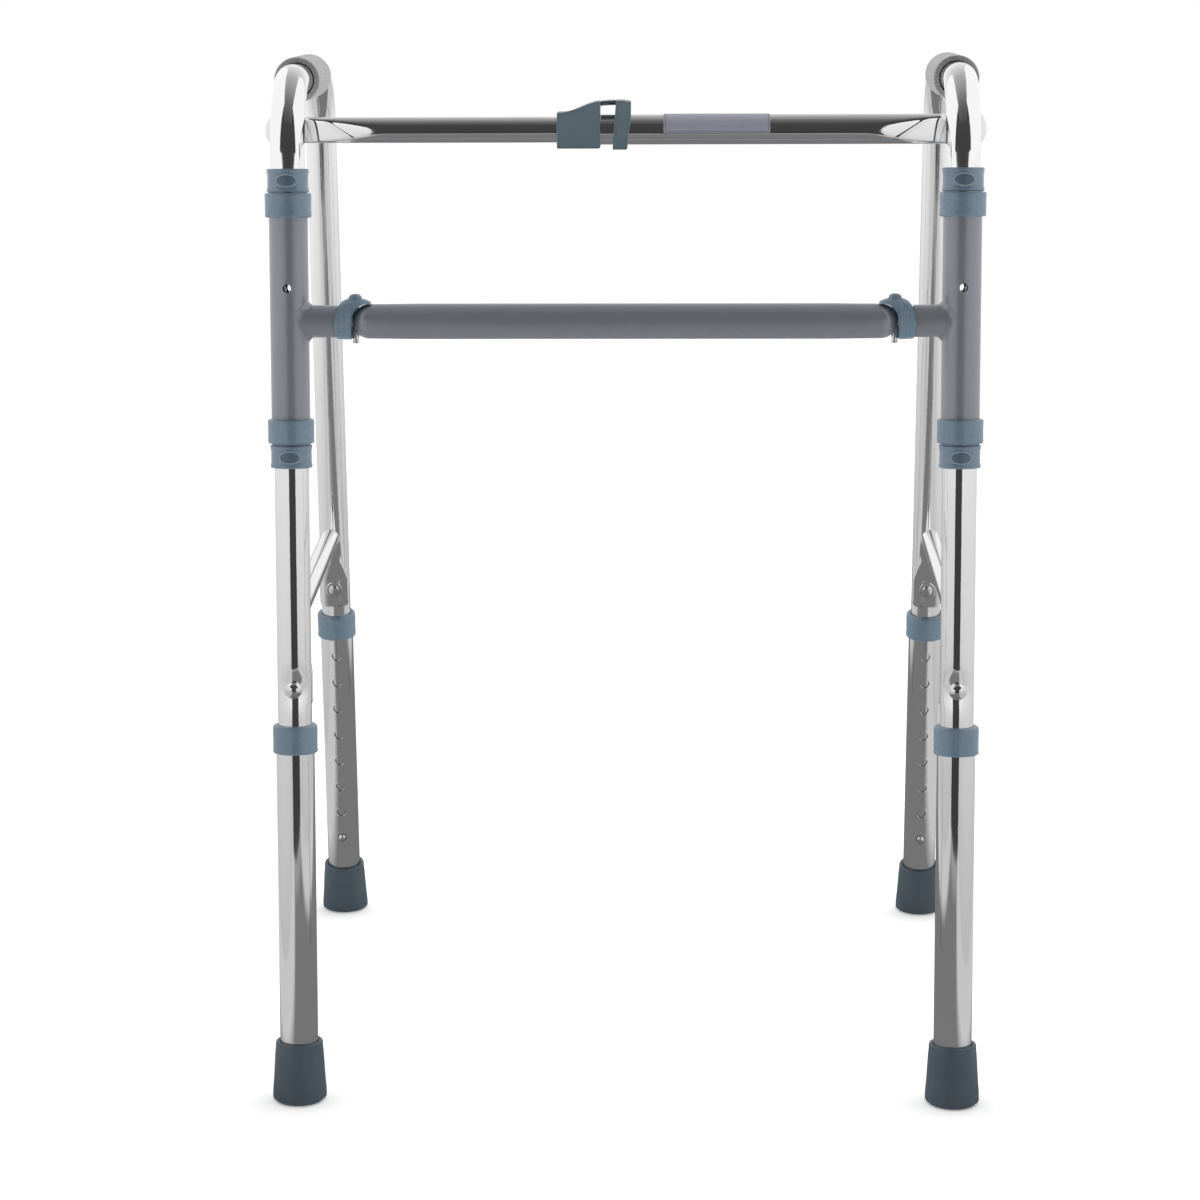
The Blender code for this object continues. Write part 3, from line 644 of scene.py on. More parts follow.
# ---------------------------------------------------------------- braces
plate_gap = BORE_R + 0.1 * MM + BRACE_R
front_at = leg_point(FRONT_LEG, FRONT_LEAN, BOLT_Z) + BACK_F * plate_gap
rear_at = leg_point(REAR_LEG, REAR_LEAN, BOLT_Z) + FORE_R * plate_gap
corner_bf = front_at + UP_F * ((BRACE_Z - front_at.z) / UP_F.z)
corner_br = rear_at + UP_R * ((BRACE_Z - rear_at.z) / UP_R.z)
brace_line = [(front_at + UP_F * s * MM, UP_F) for s in range(-16, 11)]
brace_line += arc(corner_bf, UP_F, BACK, BRACE_BEND, 18)
brace_line += arc(corner_br, BACK, -UP_R, BRACE_BEND, 18)
brace_line += [(rear_at + UP_R * s * MM, -UP_R) for s in range(10, -17, -1)]
run = [0.0]
for (a, _), (b, _) in zip(brace_line, brace_line[1:]):
    run.append(run[-1] + (b - a).length)
rings = []
for (point, ahead), here in zip(brace_line, run):
    reach = min(here, run[-1] - here)
    share = clamp((reach - PRESSED_LENGTH) / PRESSED_BLEND)
    share = share * share * (3.0 - 2.0 * share)  # 0 at the flat ends, 1 where round
    tip = min(reach / (5.0 * MM), 1.0)
    round_off = 0.72 + 0.28 * math.sqrt(max(1.0 - (1.0 - tip) ** 2, 0.0))
    out = outward(ahead)
    squash = PRESSED + (1.0 - PRESSED) * share
    power = 0.62 + 0.38 * share
    ring = []
    for a in turns(40):
        ca, sa = math.cos(a), math.sin(a)
        if share < 1.0:
            ca = math.copysign(abs(ca) ** power, ca)
            sa = math.copysign(abs(sa) ** power, sa)
        x = BRACE_R * sa * (1.56 - 0.56 * share) * round_off
        y = BRACE_R * ca * squash + BRACE_R * (1.0 - squash)
        ring.append(point + Vector((x, 0.0, 0.0)) + out * y)
    rings.append(ring)
show_side("side_brace", loft(rings), "polished_leg", "side")


# --------------------------------------------------------------- rivets
def rivet(base, tall, radius, tail, tail_r):
    """Domed head that starts at base, a shank, and a formed tail at the far side."""
    back = MM if tall > 0 else -MM
    line = [(0.0, base + tall)]
    for a in quarter(12):
        line.append((radius * math.sin(a), base + tall * (0.12 + 0.88 * math.cos(a))))
    line += [(radius * 1.02, base), (SHANK_R, base), (SHANK_R, tail)]
    line += [(tail_r, tail), (tail_r, tail - 0.9 * back)]
    line += [(tail_r - 0.9 * MM, tail - 1.9 * back), (0.0, tail - 2.2 * back)]
    return moved(lathe(line, 40), ALONG_Y)


bolt_f = Matrix.Translation((0.0, 0.0, BOLT_Z * KF))
bolt_r = Matrix.Translation((0.0, 0.0, BOLT_Z * KR))
PLATE_BACK = BORE_R + 0.1 * MM + 2.0 * PRESSED * BRACE_R
head = rivet(-10.3 * MM, -5.6 * MM, 6.6 * MM, PLATE_BACK + 0.3 * MM, 5.0 * MM)
show_side("front_brace_rivet", head, "steel", "side", SIDE_PLACE @ FRONT_LEG @ bolt_f)
head = rivet(PLATE_BACK + 0.1 * MM, 1.9 * MM, 4.7 * MM, -TUBE_R - 0.3 * MM, 5.0 * MM)
inner, outer, top = SHANK_R, 7.0 * MM, PLATE_BACK + 0.9 * MM
washer_line = [(inner, PLATE_BACK), (outer, PLATE_BACK), (outer, top), (inner, top)]
washer = moved(lathe(soften(washer_line, 0.4 * MM, 3, True), 40, True), ALONG_Y)
head = joined([head, washer])
show_side("rear_brace_rivet", head, "steel", "side", SIDE_PLACE @ REAR_LEG @ bolt_r)

# -------------------------------------------------------- leg extensions
SOLE_Z = 2.0 * MM  # the side of the tip ends here, and its rounded edge begins
# rings of the sole, as inset and drop in mm: a rounded edge, a flat sole and
# three tread grooves that open downwards
TREAD = ((0.6, 0.35), (1.4, 1.0), (2.2, 2.0), (4.4, 2.0), (4.9, 1.2), (6.6, 1.2), (7.1, 2.0))
TREAD += ((9.4, 2.0), (9.9, 1.2), (11.6, 1.2), (12.1, 2.0), (14.4, 2.0), (14.9, 1.2), (16.6, 1.2))
BUTTON = mm((0.0, 8.3), (4.9, 8.3), (4.9, 9.5), (3.45, 9.5), (3.45, 14.4))
BUTTON += mm((3.3, 15.3), (2.8, 16.1), (1.9, 16.7), (0.9, 17.0), (0.0, 17.1))


def new_parts(grown, kind):
    return [g for g in grown["geom"] if isinstance(g, kind)]


def extension(matrix, k):
    marks = [HOLE_Z * k + i * HOLE_PITCH for i in range(HOLE_COUNT)]
    values = [EXT_BOTTOM * k, TIP_TOP_Z * k]
    for mark in marks:
        values += hole_rows(mark, OUTER_R)
    values += [0.262 * k, EXT_TOP * k]
    values.sort(reverse=matrix is REAR_LEG)
    holes = [(row_of(mark, values), COLUMNS // 2, HOLE_R) for mark in marks]
    return tube_skin(leg_stations(matrix, values), OUTER_R, holes)


def extension_collar(k):
    z0, z1 = EXT_COLLAR[0] * k, EXT_COLLAR[1] * k
    inner = TUBE_R + 0.2 * MM
    line = [(OUTER_R + 0.2 * MM, z0), (EXT_COLLAR_R, z0), (EXT_COLLAR_R, z0 + 2.2 * MM)]
    line += [(16.55 * MM, z0 + 2.9 * MM), (16.7 * MM, z1 - 1.6 * MM), (15.7 * MM, z1)]
    line += [(inner, z1), (inner, z1 - 3.0 * MM)]
    return lathe(soften(line, 1.0 * MM, 5), 72)


def rubber_tip(matrix, k):
    """A ferrule along the leg, cut level near the floor and closed by a sole."""
    top = TIP_TOP_Z * k
    line = mm((0.0, -8.0), (20.35, -8.0), (20.35, 7.0), (19.55, 16.0))
    line += [(18.35 * MM, top - 9.0 * MM), (17.85 * MM, top - 4.2 * MM)]
    line += [(17.85 * MM, top - 1.2 * MM), (17.2 * MM, top)]
    line += [(OUTER_R + 0.25 * MM, top - 0.6 * MM), (OUTER_R + 0.25 * MM, top - 8.0 * MM)]
    tip = moved(lathe(soften(line, 2.2 * MM, 6), 72), matrix)
    cut = bmesh.ops.bisect_plane(
        tip,
        geom=list(tip.verts) + list(tip.edges) + list(tip.faces),
        dist=1e-6,
        plane_co=(0.0, 0.0, SOLE_Z),
        plane_no=(0.0, 0.0, -1.0),
        clear_outer=True,
    )
    rim = [e for e in cut["geom_cut"] if isinstance(e, bmesh.types.BMEdge)]
    middle = matrix.to_translation()
    for inset, drop in TREAD:
        grown = bmesh.ops.extrude_edge_only(tip, edges=rim)
        fresh = new_parts(grown, bmesh.types.BMVert)
        rim = new_parts(grown, bmesh.types.BMEdge)
        rim = [e for e in rim if all(v in fresh for v in e.verts)]
        target = max(TIP_R - inset * MM, 1.0 * MM)
        level = Vector((middle.x, middle.y, SOLE_Z - drop * MM))
        for v in fresh:
            away = Vector((v.co.x - middle.x, v.co.y - middle.y, 0.0))
            v.co = level + away.normalized() * min(target, away.length)
    bmesh.ops.edgeloop_fill(tip, edges=rim)
    return outwards(tip)


for stem, matrix, k, _ in LEGS:
    at_leg = SIDE_PLACE @ matrix
    leg = stem + "_leg"
    show_side(leg + "_extension", extension(matrix, k), "polished_leg", leg)
    show_side(leg + "_collar", extension_collar(k), "blue_grey_plastic", leg, at_leg)
    show_side(stem + "_rubber_tip", rubber_tip(at_leg, k), "slate_rubber", leg, None)
    button = moved(lathe(BUTTON, 36), ALONG_Y)
    at_button = at_leg @ Matrix.Translation((0.0, 0.0, HOLE_Z * k))
    show_side(stem + "_snap_button", button, "steel", stem + "_button", at_button)


# ------------------------------------- small generic numbers by the holes
def figure(number):
    """A flat figure in X and Y."""
    text = bpy.data.curves.new("digit", "FONT")
    text.body = str(number)
    text.size = 4.6 * MM
    text.align_x = "CENTER"
    text.align_y = "CENTER"
    text.resolution_u = 3
    holder = add("digit", text)
    bm = evaluated(holder)
    bpy.data.objects.remove(holder, do_unlink=True)
    return bm


for stem, matrix, k, inward in LEGS:
    for side, sign in (("right_", 1.0), ("left_", -1.0)):
        digits = []
        across = (1.0 if stem == "rear" else -1.0) * sign
        for i in range(1, HOLE_COUNT):
            bm = figure(HOLE_COUNT - i)
            height = HOLE_Z * k + (i - 0.5) * HOLE_PITCH
            for v in bm.verts:
                spot = matrix @ Vector((0.0, 0.0, height + v.co.y))
                v.co = around(spot, inward, OUTER_R + 0.04 * MM, across * v.co.x / OUTER_R)
            digits.append(bm)
        marks = moved(joined(digits), SIDE_PLACE if sign > 0 else FLIP @ SIDE_PLACE)
        name = "show_" + side + stem + "_hole_numbers"
        ob = add(name, as_mesh(marks, name))
        # the flat dark figures paint the shade in stamped grooves
        ob.data.materials.append(MATS["painted_groove_shade"])
        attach(ob, side + stem + "_leg")

# ------------------------------------------------- sleeves and collars
cell = OUTER_R * CELL_FRACTION
rows = [v for v in spread(SLEEVE_Z[0] * KF, sight - 0.012, 0.03) if v < sight - 6 * cell]
rows += hole_rows(sight, OUTER_R)
rows += spread(sight + 7 * cell, SLEEVE_Z[1] * KF, 0.02) + [SLEEVE_Z[1] * KF]
body = tube_skin(leg_stations(FRONT_LEG, rows), OUTER_R, sight_holes(rows))
show_side("hinge_sleeve", body, "grey_paint", "hinge_frame", PLACE)

LIP_R = 14.2 * MM  # narrow neck that closes the gap to the next collar
RELIEF_FROM = 14.6 * MM


def collar_skin(z0, z1, shape, relief=None, rows=26, steps=96, lips=(0.0, 0.0)):
    """A collar whose outer face may carry relief; the ends close on the leg."""
    line = [(TUBE_R + 0.25 * MM, z0 + 0.5 * MM), (TUBE_R + 0.4 * MM, z0 - lips[0])]
    if lips[0]:
        line += [(LIP_R, z0 - lips[0]), (LIP_R, z0)]
    for i in range(rows + 1):
        z = z0 + (z1 - z0) * i / rows
        line.append((shape((z - z0) * 1000.0, (z1 - z) * 1000.0), z))
    if lips[1]:
        line += [(LIP_R, z1), (LIP_R, z1 + lips[1])]
    line += [(TUBE_R + 0.4 * MM, z1 + lips[1]), (TUBE_R + 0.25 * MM, z1 - 0.5 * MM)]
    rings = []
    for r, z in line:
        ring = []
        for a in turns(steps):
            reach = r
            if relief is not None and r > RELIEF_FROM:
                reach += relief(math.remainder(a + math.pi / 2.0, 2.0 * math.pi), z)
            ring.append((reach * math.cos(a), reach * math.sin(a), z))
        rings.append(ring)
    return loft(rings, False)


def edge_round(low, high, size):
    """How far a rounded rim falls back, from distances to both ends in mm."""
    near = min(low, high)
    if near >= size:
        return 0.0
    return size - math.sqrt(max(size * size - (size - near) ** 2, 0.0))


def bush_shape(low, high):
    waist = 0.1925 * math.exp(-(((low - 9.0) / 6.0) ** 2))
    return (17.2 - waist - edge_round(low, high, 1.3)) * MM


def stop_shape(low, high):
    waist = 0.55 / (1.0 + math.exp(-(min(low, high) - 3.0) / 0.45))
    return (15.5 - waist - edge_round(low, high, 0.8)) * MM


def oval(mid):
    """The boss that carries the button, as relief on the front of a stop collar."""
    def relief(angle, z):
        e = math.hypot(angle * 15.2 * MM / (8.0 * MM), (z - mid) / (4.8 * MM))
        up = 1.0 / (1.0 + math.exp((e - 0.96) / 0.028))
        return 0.35 * up * MM

    return relief


BUTTON_ON_R = 15.3 * MM


def on_collar(r, across, z):
    """A spot at radius r, with across measured round the collar from its front."""
    a = across / BUTTON_ON_R
    return Vector((r * math.sin(a), -r * math.cos(a), z))


# the raised ring round a button, given a lighter colour as a painted highlight
def button_rim(mid):
    rings = []
    for t in turns(72):
        ring = []
        for q in turns(10):
            grow = 0.70 * MM * math.cos(q)
            r = (15.30 + 0.55 * math.sin(q)) * MM
            z = mid + (4.5 * MM + grow) * math.sin(t)
            ring.append(on_collar(r, (7.6 * MM + grow) * math.cos(t), z))
        rings.append(ring)
    band = loft(rings + [rings[0]], False)
    bmesh.ops.remove_doubles(band, verts=band.verts, dist=1e-6)
    return band


# the pad's darker colour is painted shade, not the plastic's own colour
def button_pad(mid):
    """A slightly domed oval, closed at the back."""
    disc = bmesh.new()
    hub = disc.verts.new((0.0, -15.62 * MM, mid))
    last = None
    for turn in range(1, 9):
        u = turn / 8.0
        r = (15.45 + 0.17 * (1.0 - u * u)) * MM
        now = []
        for t in turns(64):
            z = mid + 4.2 * MM * u * math.sin(t)
            now.append(disc.verts.new(on_collar(r, 7.3 * MM * u * math.cos(t), z)))
        if last:
            stitch(disc, last, now)
        else:
            for k in range(64):
                disc.faces.new((hub, now[k], now[(k + 1) % 64]))
        last = now
    sunk = [disc.verts.new((v.co.x * 0.965, v.co.y * 0.965, v.co.z)) for v in last]
    stitch(disc, last, sunk)
    disc.faces.new(sunk)
    return outwards(disc)


for stem, z0, z1 in (("lower", 0.4985, 0.5165), ("upper", 0.6645, 0.6825)):
    bush = collar_skin(z0 * KF, z1 * KF, bush_shape)
    show_side(stem + "_hinge_bush", bush, "blue_grey_plastic", "hinge_frame", PLACE @ FRONT_LEG)
STOPS = (("lower", 0.4805, 0.4973, (0.0, 0.9 * MM)), ("upper", 0.6829, 0.7000, (0.3 * MM, 0.0)))
for stem, z0, z1, lips in STOPS:
    mid = (z0 + z1) / 2.0 * KF
    at_leg = SIDE_PLACE @ FRONT_LEG
    stop = collar_skin(z0 * KF, z1 * KF, stop_shape, oval(mid), 48, 192, lips)
    show_side(stem + "_stop_collar", stop, "blue_grey_plastic", "side", at_leg)
    # the rim's lighter colour is a painted highlight
    show(stem + "_button_rim", button_rim(mid), "button_rim", "side", (), True, at_leg)
    # the pad's darker colour is painted shade
    show(stem + "_button_pad", button_pad(mid), "button_pad", "side", (), True, at_leg)

# -------------------------------------------------- stubs, clips and pins
start = PIN_X + STUB_START
stub_line = [(0.0, start), (STUB_R, start), (STUB_R, HALF_SPACING - 0.006)]
stub = moved(moved(lathe(soften(stub_line, 0.8 * MM, 3), 72), ALONG_X), BAR_AT)


def weld():
    """A laid bead round the joint of stub and sleeve, blended into both."""
    rings = []
    for t in range(9):
        u = t / 8.0
        ring = []
        for a in turns(96):
            y, z = math.cos(a), math.sin(a)
            ripple = 0.10 * math.sin(a * 34.0)
            tall = 1.5 + 2.9 * abs(z) ** 1.5
            lift = (tall * (1.0 - u) ** 2.4 - 0.12) * MM + ripple * MM * math.sin(math.pi * u)
            r = STUB_R + lift
            run_x = math.sqrt(max(OUTER_R**2 - (r * y) ** 2, 0.0))
            out = run_x + ((1.6 + 3.4 * abs(z)) * u - 0.4) * MM
            ring.append(Vector((-out, r * y, r * z)))
        rings.append(ring)
    return loft(rings, False)


bead = moved(weld(), Matrix.Translation((HALF_SPACING, PIN_Y, STUB_Z)))
show_side("bar_stub", joined([stub, bead]), "grey_paint", "hinge_frame", None, angle=50.0)

# the clip's body, in mm: distance from the pin, radius, and extra height of its top
CLIP = ((14.8, 12.9, 0.1), (12.0, 13.4, 0.7), (10.0, 13.8, 1.2), (8.0, 14.1, 1.9))
CLIP += ((6.0, 14.4, 2.5), (4.0, 14.6, 2.9), (1.0, 14.7, 3.1), (-2.0, 14.7, 3.0))
CLIP += ((-5.0, 14.6, 2.4), (-8.0, 14.4, 1.6), (-10.0, 14.1, 1.1), (-11.2, 13.7, 0.8))
CLIP += ((-11.8, 13.4, 0.5),)
# the clip seen from the front, about the pin, and the mouth cut out of it for the bar
SADDLE = [(-20.0, -12.7), (13.4, -12.7), (14.3, -8.5), (14.75, -3.0), (14.75, 1.0)]
SADDLE += [(14.2, 5.5), (13.1, 9.4), (11.6, 12.6), (9.6, 15.2), (7.4, 17.0), (5.2, 18.2)]
SADDLE += [(4.8, 26.0), (-20.0, 26.0)]
MOUTH = [(-16.0, 13.4), (-7.5, 13.35), (-4.7, 12.4), (-2.6, 11.0), (-0.6, 9.0), (0.9, 6.4)]
MOUTH += [(1.9, 3.4), (2.4, 0.0), (2.6, -5.0), (2.6, -20.0), (-16.0, -20.0)]
BOSS = mm((0.0, 12.0), (4.9, 12.0), (4.9, 17.2), (4.55, 18.5))
BOSS += mm((3.9, 19.3), (2.9, 19.9), (1.5, 20.25), (0.0, 20.35))
NOSE_ROOM_R = 13.4 * MM


def between(value, table):
    """Straight-line reading of a falling table of (key, a, b)."""
    for (k0, a0, b0), (k1, a1, b1) in zip(table, table[1:]):
        if k0 >= value >= k1:
            t = (k0 - value) / (k0 - k1)
            return a0 + (a1 - a0) * t, b0 + (b1 - b0) * t
    return table[-1][1:]


def slab(outline):
    """A front outline about the pin, in mm, given thickness right through the clip."""
    bm = bmesh.new()
    spots = [(PIN_X + o * MM, PIN_Y - 0.03, STUB_Z + z * MM) for o, z in outline]
    face = bm.faces.new([bm.verts.new(p) for p in spots])
    grown = bmesh.ops.extrude_face_region(bm, geom=[face])
    bmesh.ops.translate(bm, verts=new_parts(grown, bmesh.types.BMVert), vec=(0.0, 0.06, 0.0))
    return outwards(bm)


rings = []
for i in range(110):
    o = 14.8 - 26.6 * i / 109.0
    r, lift = between(o, CLIP)
    if 3.0 < o < 13.4:  # fine ribs across the clip
        r -= 0.26 * (0.5 - 0.5 * math.cos(2.0 * math.pi * (o - 3.0) / 1.3))
    ring = []
    for a in turns(96):
        z = lift * max(math.sin(a), 0.0) ** 2 + r * math.sin(a)
        ring.append(Vector((PIN_X + o * MM, PIN_Y - r * MM * math.cos(a), STUB_Z + z * MM)))
    rings.append(ring)
clip = combine(loft(rings), moved(lathe(BOSS, 48), PIN_AT), "UNION")
clip = combine(clip, slab(SADDLE), "INTERSECT")
clip = combine(clip, slab(MOUTH))
# room for the round nose of the bar through its whole swing
room_line = [(0.0, -0.030), (NOSE_ROOM_R, -0.030), (NOSE_ROOM_R, -NOSE_IN)]
for a in quarter(12):
    room_line.append((NOSE_ROOM_R * math.cos(a), NOSE_ROOM_R * math.sin(a) - NOSE_IN))
for turn in (-15.0, 0.0, 15.0):
    room = moved(moved(lathe(room_line, 96), ALONG_X), Matrix.Rotation(RAD(turn), 4, "Z"))
    clip = combine(clip, moved(room, PIN_AT))
seat = rod(STUB_R + 0.1 * MM, PIN_X + 13.2 * MM, PIN_X + 35.3 * MM)
clip = combine(clip, moved(moved(seat, ALONG_X), BAR_AT))
clip = combine(clip, moved(rod(PIN_R + 0.3 * MM, 0.005, 0.0190, 32), PIN_AT))
show_side("bar_clip", clip, "blue_grey_plastic", "hinge_frame", None, angle=30.0)

pin_line = mm((0.0, -16.2), (1.4, -16.2), (2.1, -15.9), (2.5, -15.2), (2.5, -14.2))
pin_line += mm((2.1, -13.9), (2.1, -13.3), (2.5, -13.0), (2.5, 18.6), (0.0, 18.6))
show_side("pivot_pin", lathe(pin_line, 32), "steel", "hinge_frame", PIN_AT)

# -------------------------------------------------------------- lower bar
half = [(BAR_R, PIN_X - 0.045)]
for k in range(14):
    a = math.pi / 2.0 * k / 14
    half.append((BAR_END_R * math.cos(a), PIN_X - NOSE_IN + BAR_END_R * math.sin(a)))
half.append((0.0, PIN_X - NOSE_IN + BAR_END_R))
line = [(r, -x) for r, x in reversed(half)] + half
bar = moved(moved(lathe(line, 96), ALONG_X), BAR_AT)
show("lower_bar", bar, "grey_paint", "front_bar", ["lower_bar"], angle=30.0)

# -------------------------------------------------------------- upper bar
leg_line = leg_stations(FRONT_LEG, [0.66, 0.69, 0.70])
leg_line += arc(corner_f, UP_F, BACK, BEND_R, 16)
leg_line.append((corner_f + BACK * 0.085, BACK))
DOME = 0.62  # height of the far end's dome, as a share of its radius
FINE_FROM = 0.175
FLAT_FROM = 0.17
FLAT_NORMAL = Vector((math.sin(0.118), -math.cos(0.118), -math.sin(0.075))).normalized()


def leg_room(margin, turn):
    """Room for the front leg, where the bar passes behind it."""
    rings = []
    for point, direction in leg_line:
        out = outward(direction)
        rings.append([around(point, out, TUBE_R + margin, a) for a in turns(48)])
    return moved(loft(rings), PLACE @ Matrix.Rotation(-SPLAY + turn, 4, UP_F))


def round_bar(radius, bore, start, end):
    """A tube along X with a domed far end, pressed flat where it passes the leg."""
    line = [(0.0, start + 0.03), (bore, start + 0.03), (bore, start)]
    line += [(bore + 0.3 * MM, start - 0.2 * MM), (radius - 0.3 * MM, start - 0.2 * MM)]
    line.append((radius, start + 0.1 * MM))
    x = FINE_FROM + 0.001
    while x < end - radius * DOME:
        line.append((radius, x))
        x += 0.0008
    line.append((radius, end - radius * DOME))
    for a in quarter(9):
        line.append((radius * math.cos(a), end - radius * DOME * (1.0 - math.sin(a))))
    bm = moved(lathe(line, 144), ALONG_X)
    for v in bm.verts:
        if v.co.x < FLAT_FROM:
            continue
        # the tube is pressed to a slanting flat that starts below the middle line
        beyond = FLAT_NORMAL.dot(v.co - Vector((0.1850, -radius, 0.0)))
        crease = math.exp(-(((v.co.x - 0.2105 - 1.55 * v.co.z) / 0.0022) ** 2))
        push = 0.5 * (beyond + math.hypot(beyond, 0.0009))
        v.co.y += push - 0.20 * MM * crease * clamp(beyond / 0.0012)
    return bm


def behind_leg(bm):
    moved(bm, UPPER_AT)
    for margin, turn in ((3.2 * MM, 0.0), (1.4 * MM, RAD(30)), (1.4 * MM, RAD(60))):
        bm = combine(bm, leg_room(margin, turn))
    return bm


thick = behind_leg(round_bar(THICK_R, 9.95 * MM, -0.0448, UPPER_END))
show("upper_outer_tube", thick, "polished_bar", "upper_outer", ["upper_outer_tube"], angle=38.0)
thin = flipped(behind_leg(round_bar(THIN_R, 8.3 * MM, -0.1098, UPPER_END)))
show("upper_inner_tube", thin, "polished_bar", "upper_inner", ["upper_inner_tube"], angle=38.0)

# ------------------------------------------------------------------ latch
# front outlines about the bar's axis, in mm
HOUSING = [(-50.0, -13.4), (-18.2, -13.4), (-18.2, 21.2), (-21.0, 20.7), (-24.0, 19.9)]
HOUSING += [(-28.0, 18.6), (-32.0, 17.0), (-36.0, 15.2), (-39.5, 13.6), (-41.8, 12.95)]
HOUSING += [(-45.5, 12.9), (-50.0, 12.9)]
RING = [(-9.0, -14.2), (1.8, -14.2), (2.6, -5.0), (4.4, 8.0)]
RING += [(4.6, 20.6), (-1.0, 21.5), (-6.4, 21.6)]
STRAP = [(-17.8, 17.6), (-12.0, 18.0), (-5.0, 18.2), (-5.0, 21.5), (-9.0, 21.55)]
STRAP += [(-13.0, 21.35), (-17.8, 20.9)]
# rounded rims, as inset and depth in mm, from the flat side out to the full outline
HOUSING_RIM = ((1.02, 0.42), (0.92, 0.40), (0.78, 0.07), (0.60, 0.0))
HOUSING_RIM += ((0.40, 0.04), (0.16, 0.22), (0.0, 0.6))
RING_RIM = ((0.92, 0.40), (0.82, 0.38), (0.70, 0.06), (0.5, 0.0))
RING_RIM += ((0.3, 0.06), (0.1, 0.3), (0.0, 0.7))
STRAP_RIM = ((1.2, 0.0), (0.35, 0.0), (0.1, 0.15), (0.0, 0.5))


def inset(outline, size):
    """The outline moved inwards by size, in its own plane."""
    out = []
    n = len(outline)
    for i in range(n):
        p = Vector(outline[i])
        a = (p - Vector(outline[i - 1])).normalized()
        b = (Vector(outline[(i + 1) % n]) - p).normalized()
        na, nb = Vector((-a.y, a.x)), Vector((-b.y, b.x))
        m = (na + nb).normalized()
        out.append(tuple(p + m * size / max(m.dot(na), 0.35)))
    return out


def moulding(outline, corner, count, half_width, rim):
    """A moulded body: an outline with softened corners, from one flat side to the other."""
    outline = soften(outline, corner, count, True)
    loops = [(i, d - half_width) for i, d in rim]
    loops += [(i, half_width - d) for i, d in reversed(rim)]
    rings = []
    for i, y in loops:
        rings.append([Vector((x * MM, y * MM, z * MM)) for x, z in inset(outline, i)])
    return loft(rings)


housing = moulding(HOUSING, 1.1, 4, 14.0, HOUSING_RIM)
for v in housing.verts:
    # the mouth flares a little towards the ring
    v.co.y *= 1.0 - 0.012 * (1.0 - clamp((v.co.x + 0.0235) / 0.0053))
housing = combine(housing, moved(rod(THICK_R + 0.3 * MM, -0.0455, 0.0), ALONG_X))
housing = combine(housing, moved(rod(THIN_R + 0.3 * MM, -0.060, -0.040), ALONG_X))
moved(housing, UPPER_AT)
show("latch_housing", housing, "latch_plastic", "upper_outer", ["latch_housing"], angle=40.0)
lever = moulding(RING, 1.0, 4, 14.2, RING_RIM)
lever = combine(lever, moved(rod(THICK_R + 1.7 * MM, -0.016, 0.016), ALONG_X))
lever = moved(joined([lever, moulding(STRAP, 0.4, 3, 9.6, STRAP_RIM)]), UPPER_AT)
show("latch_lever", lever, "latch_plastic", "latch", ["latch_lever"], angle=40.0)


# ------------------------------------------------------------------ label
def patch(r0, r1, x0, x1, a0, a1, nx=24, na=24):
    """A thin curved sheet on the bar, front and top, angles from the front up."""
    bm = bmesh.new()
    rows = []
    for r in (r0, r1):
        rows.append([])
        for i in range(na + 1):
            a = a0 + (a1 - a0) * i / na
            y, z = -r * math.cos(a), r * math.sin(a)
            places = [x0 + (x1 - x0) * j / nx for j in range(nx + 1)]
            rows[-1].append([bm.verts.new((x, y, z)) for x in places])
    for grid in rows:
        for i in range(na):
            for j in range(nx):
                bm.faces.new((grid[i][j], grid[i + 1][j], grid[i + 1][j + 1], grid[i][j + 1]))
    low, high = rows
    for i in range(na):
        for j in (0, nx):
            bm.faces.new((low[i][j], low[i + 1][j], high[i + 1][j], high[i][j]))
    for j in range(nx):
        for i in (0, na):
            bm.faces.new((low[i][j], low[i][j + 1], high[i][j + 1], high[i][j]))
    return outwards(bm)


low_a, high_a = RAD(-10.5), RAD(84.0)
sheet = patch(THICK_R + 0.12 * MM, THICK_R + 0.40 * MM, 0.0285, 0.1070, low_a, high_a)
show("plain_label", moved(sheet, UPPER_AT), "label_film", "upper_outer", ["plain_label"])
rim_at = (THICK_R + 0.38 * MM, THICK_R + 0.46 * MM)
rims = []
for x0, x1 in ((0.0296, 0.0301), (0.1054, 0.1059)):
    rims.append(patch(*rim_at, x0, x1, low_a + 0.09, high_a - 0.09, 1, 24))
for a in (low_a + 0.09, high_a - 0.09):
    rims.append(patch(*rim_at, 0.0296, 0.1059, a - 0.022, a + 0.022, 12, 2))
show("label_border", moved(joined(rims), UPPER_AT), "label_edge", "upper_outer")

# the hidden springs keep their CAD shape
for name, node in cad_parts.items():
    if name.endswith("_button_spring"):
        for s in node.material_slots:
            s.material = MATS["steel"]

# ---------------------------------------------------------------- camera
YAW = RAD(-1.383)
PITCH = RAD(10.442)
ROLL = RAD(0.207)
CAMERA_AT = (0.0254, -2.314, 0.8243)
scene = bpy.context.scene
cam = add("camera", bpy.data.cameras.new("camera"))
scene.camera = cam
cam.data.sensor_width = 36.0
cam.data.lens = 86.64
cam.data.shift_x = 0.0080
cam.data.shift_y = -0.060
cam.data.clip_end = 30.0
level = math.cos(PITCH)
ahead = Vector((math.sin(YAW) * level, math.cos(YAW) * level, -math.sin(PITCH)))
facing = ahead.to_track_quat("-Z", "Y").to_matrix().to_4x4()
cam.matrix_world = Matrix.Translation(CAMERA_AT) @ facing @ Matrix.Rotation(-ROLL, 4, "Z")

# ------------------------------------------------------------ the studio
scene.view_settings.view_transform = "Standard"
scene.view_settings.look = "None"
world = Nodes(bpy.data.worlds.new("studio"))
scene.world = world.owner
world.tree.nodes.clear()
split = world.node("SeparateXYZ", world.node("TexCoord").outputs["Generated"])
depth = world.calc("MULTIPLY_ADD", split.outputs["Y"], 0.5, 0.5)


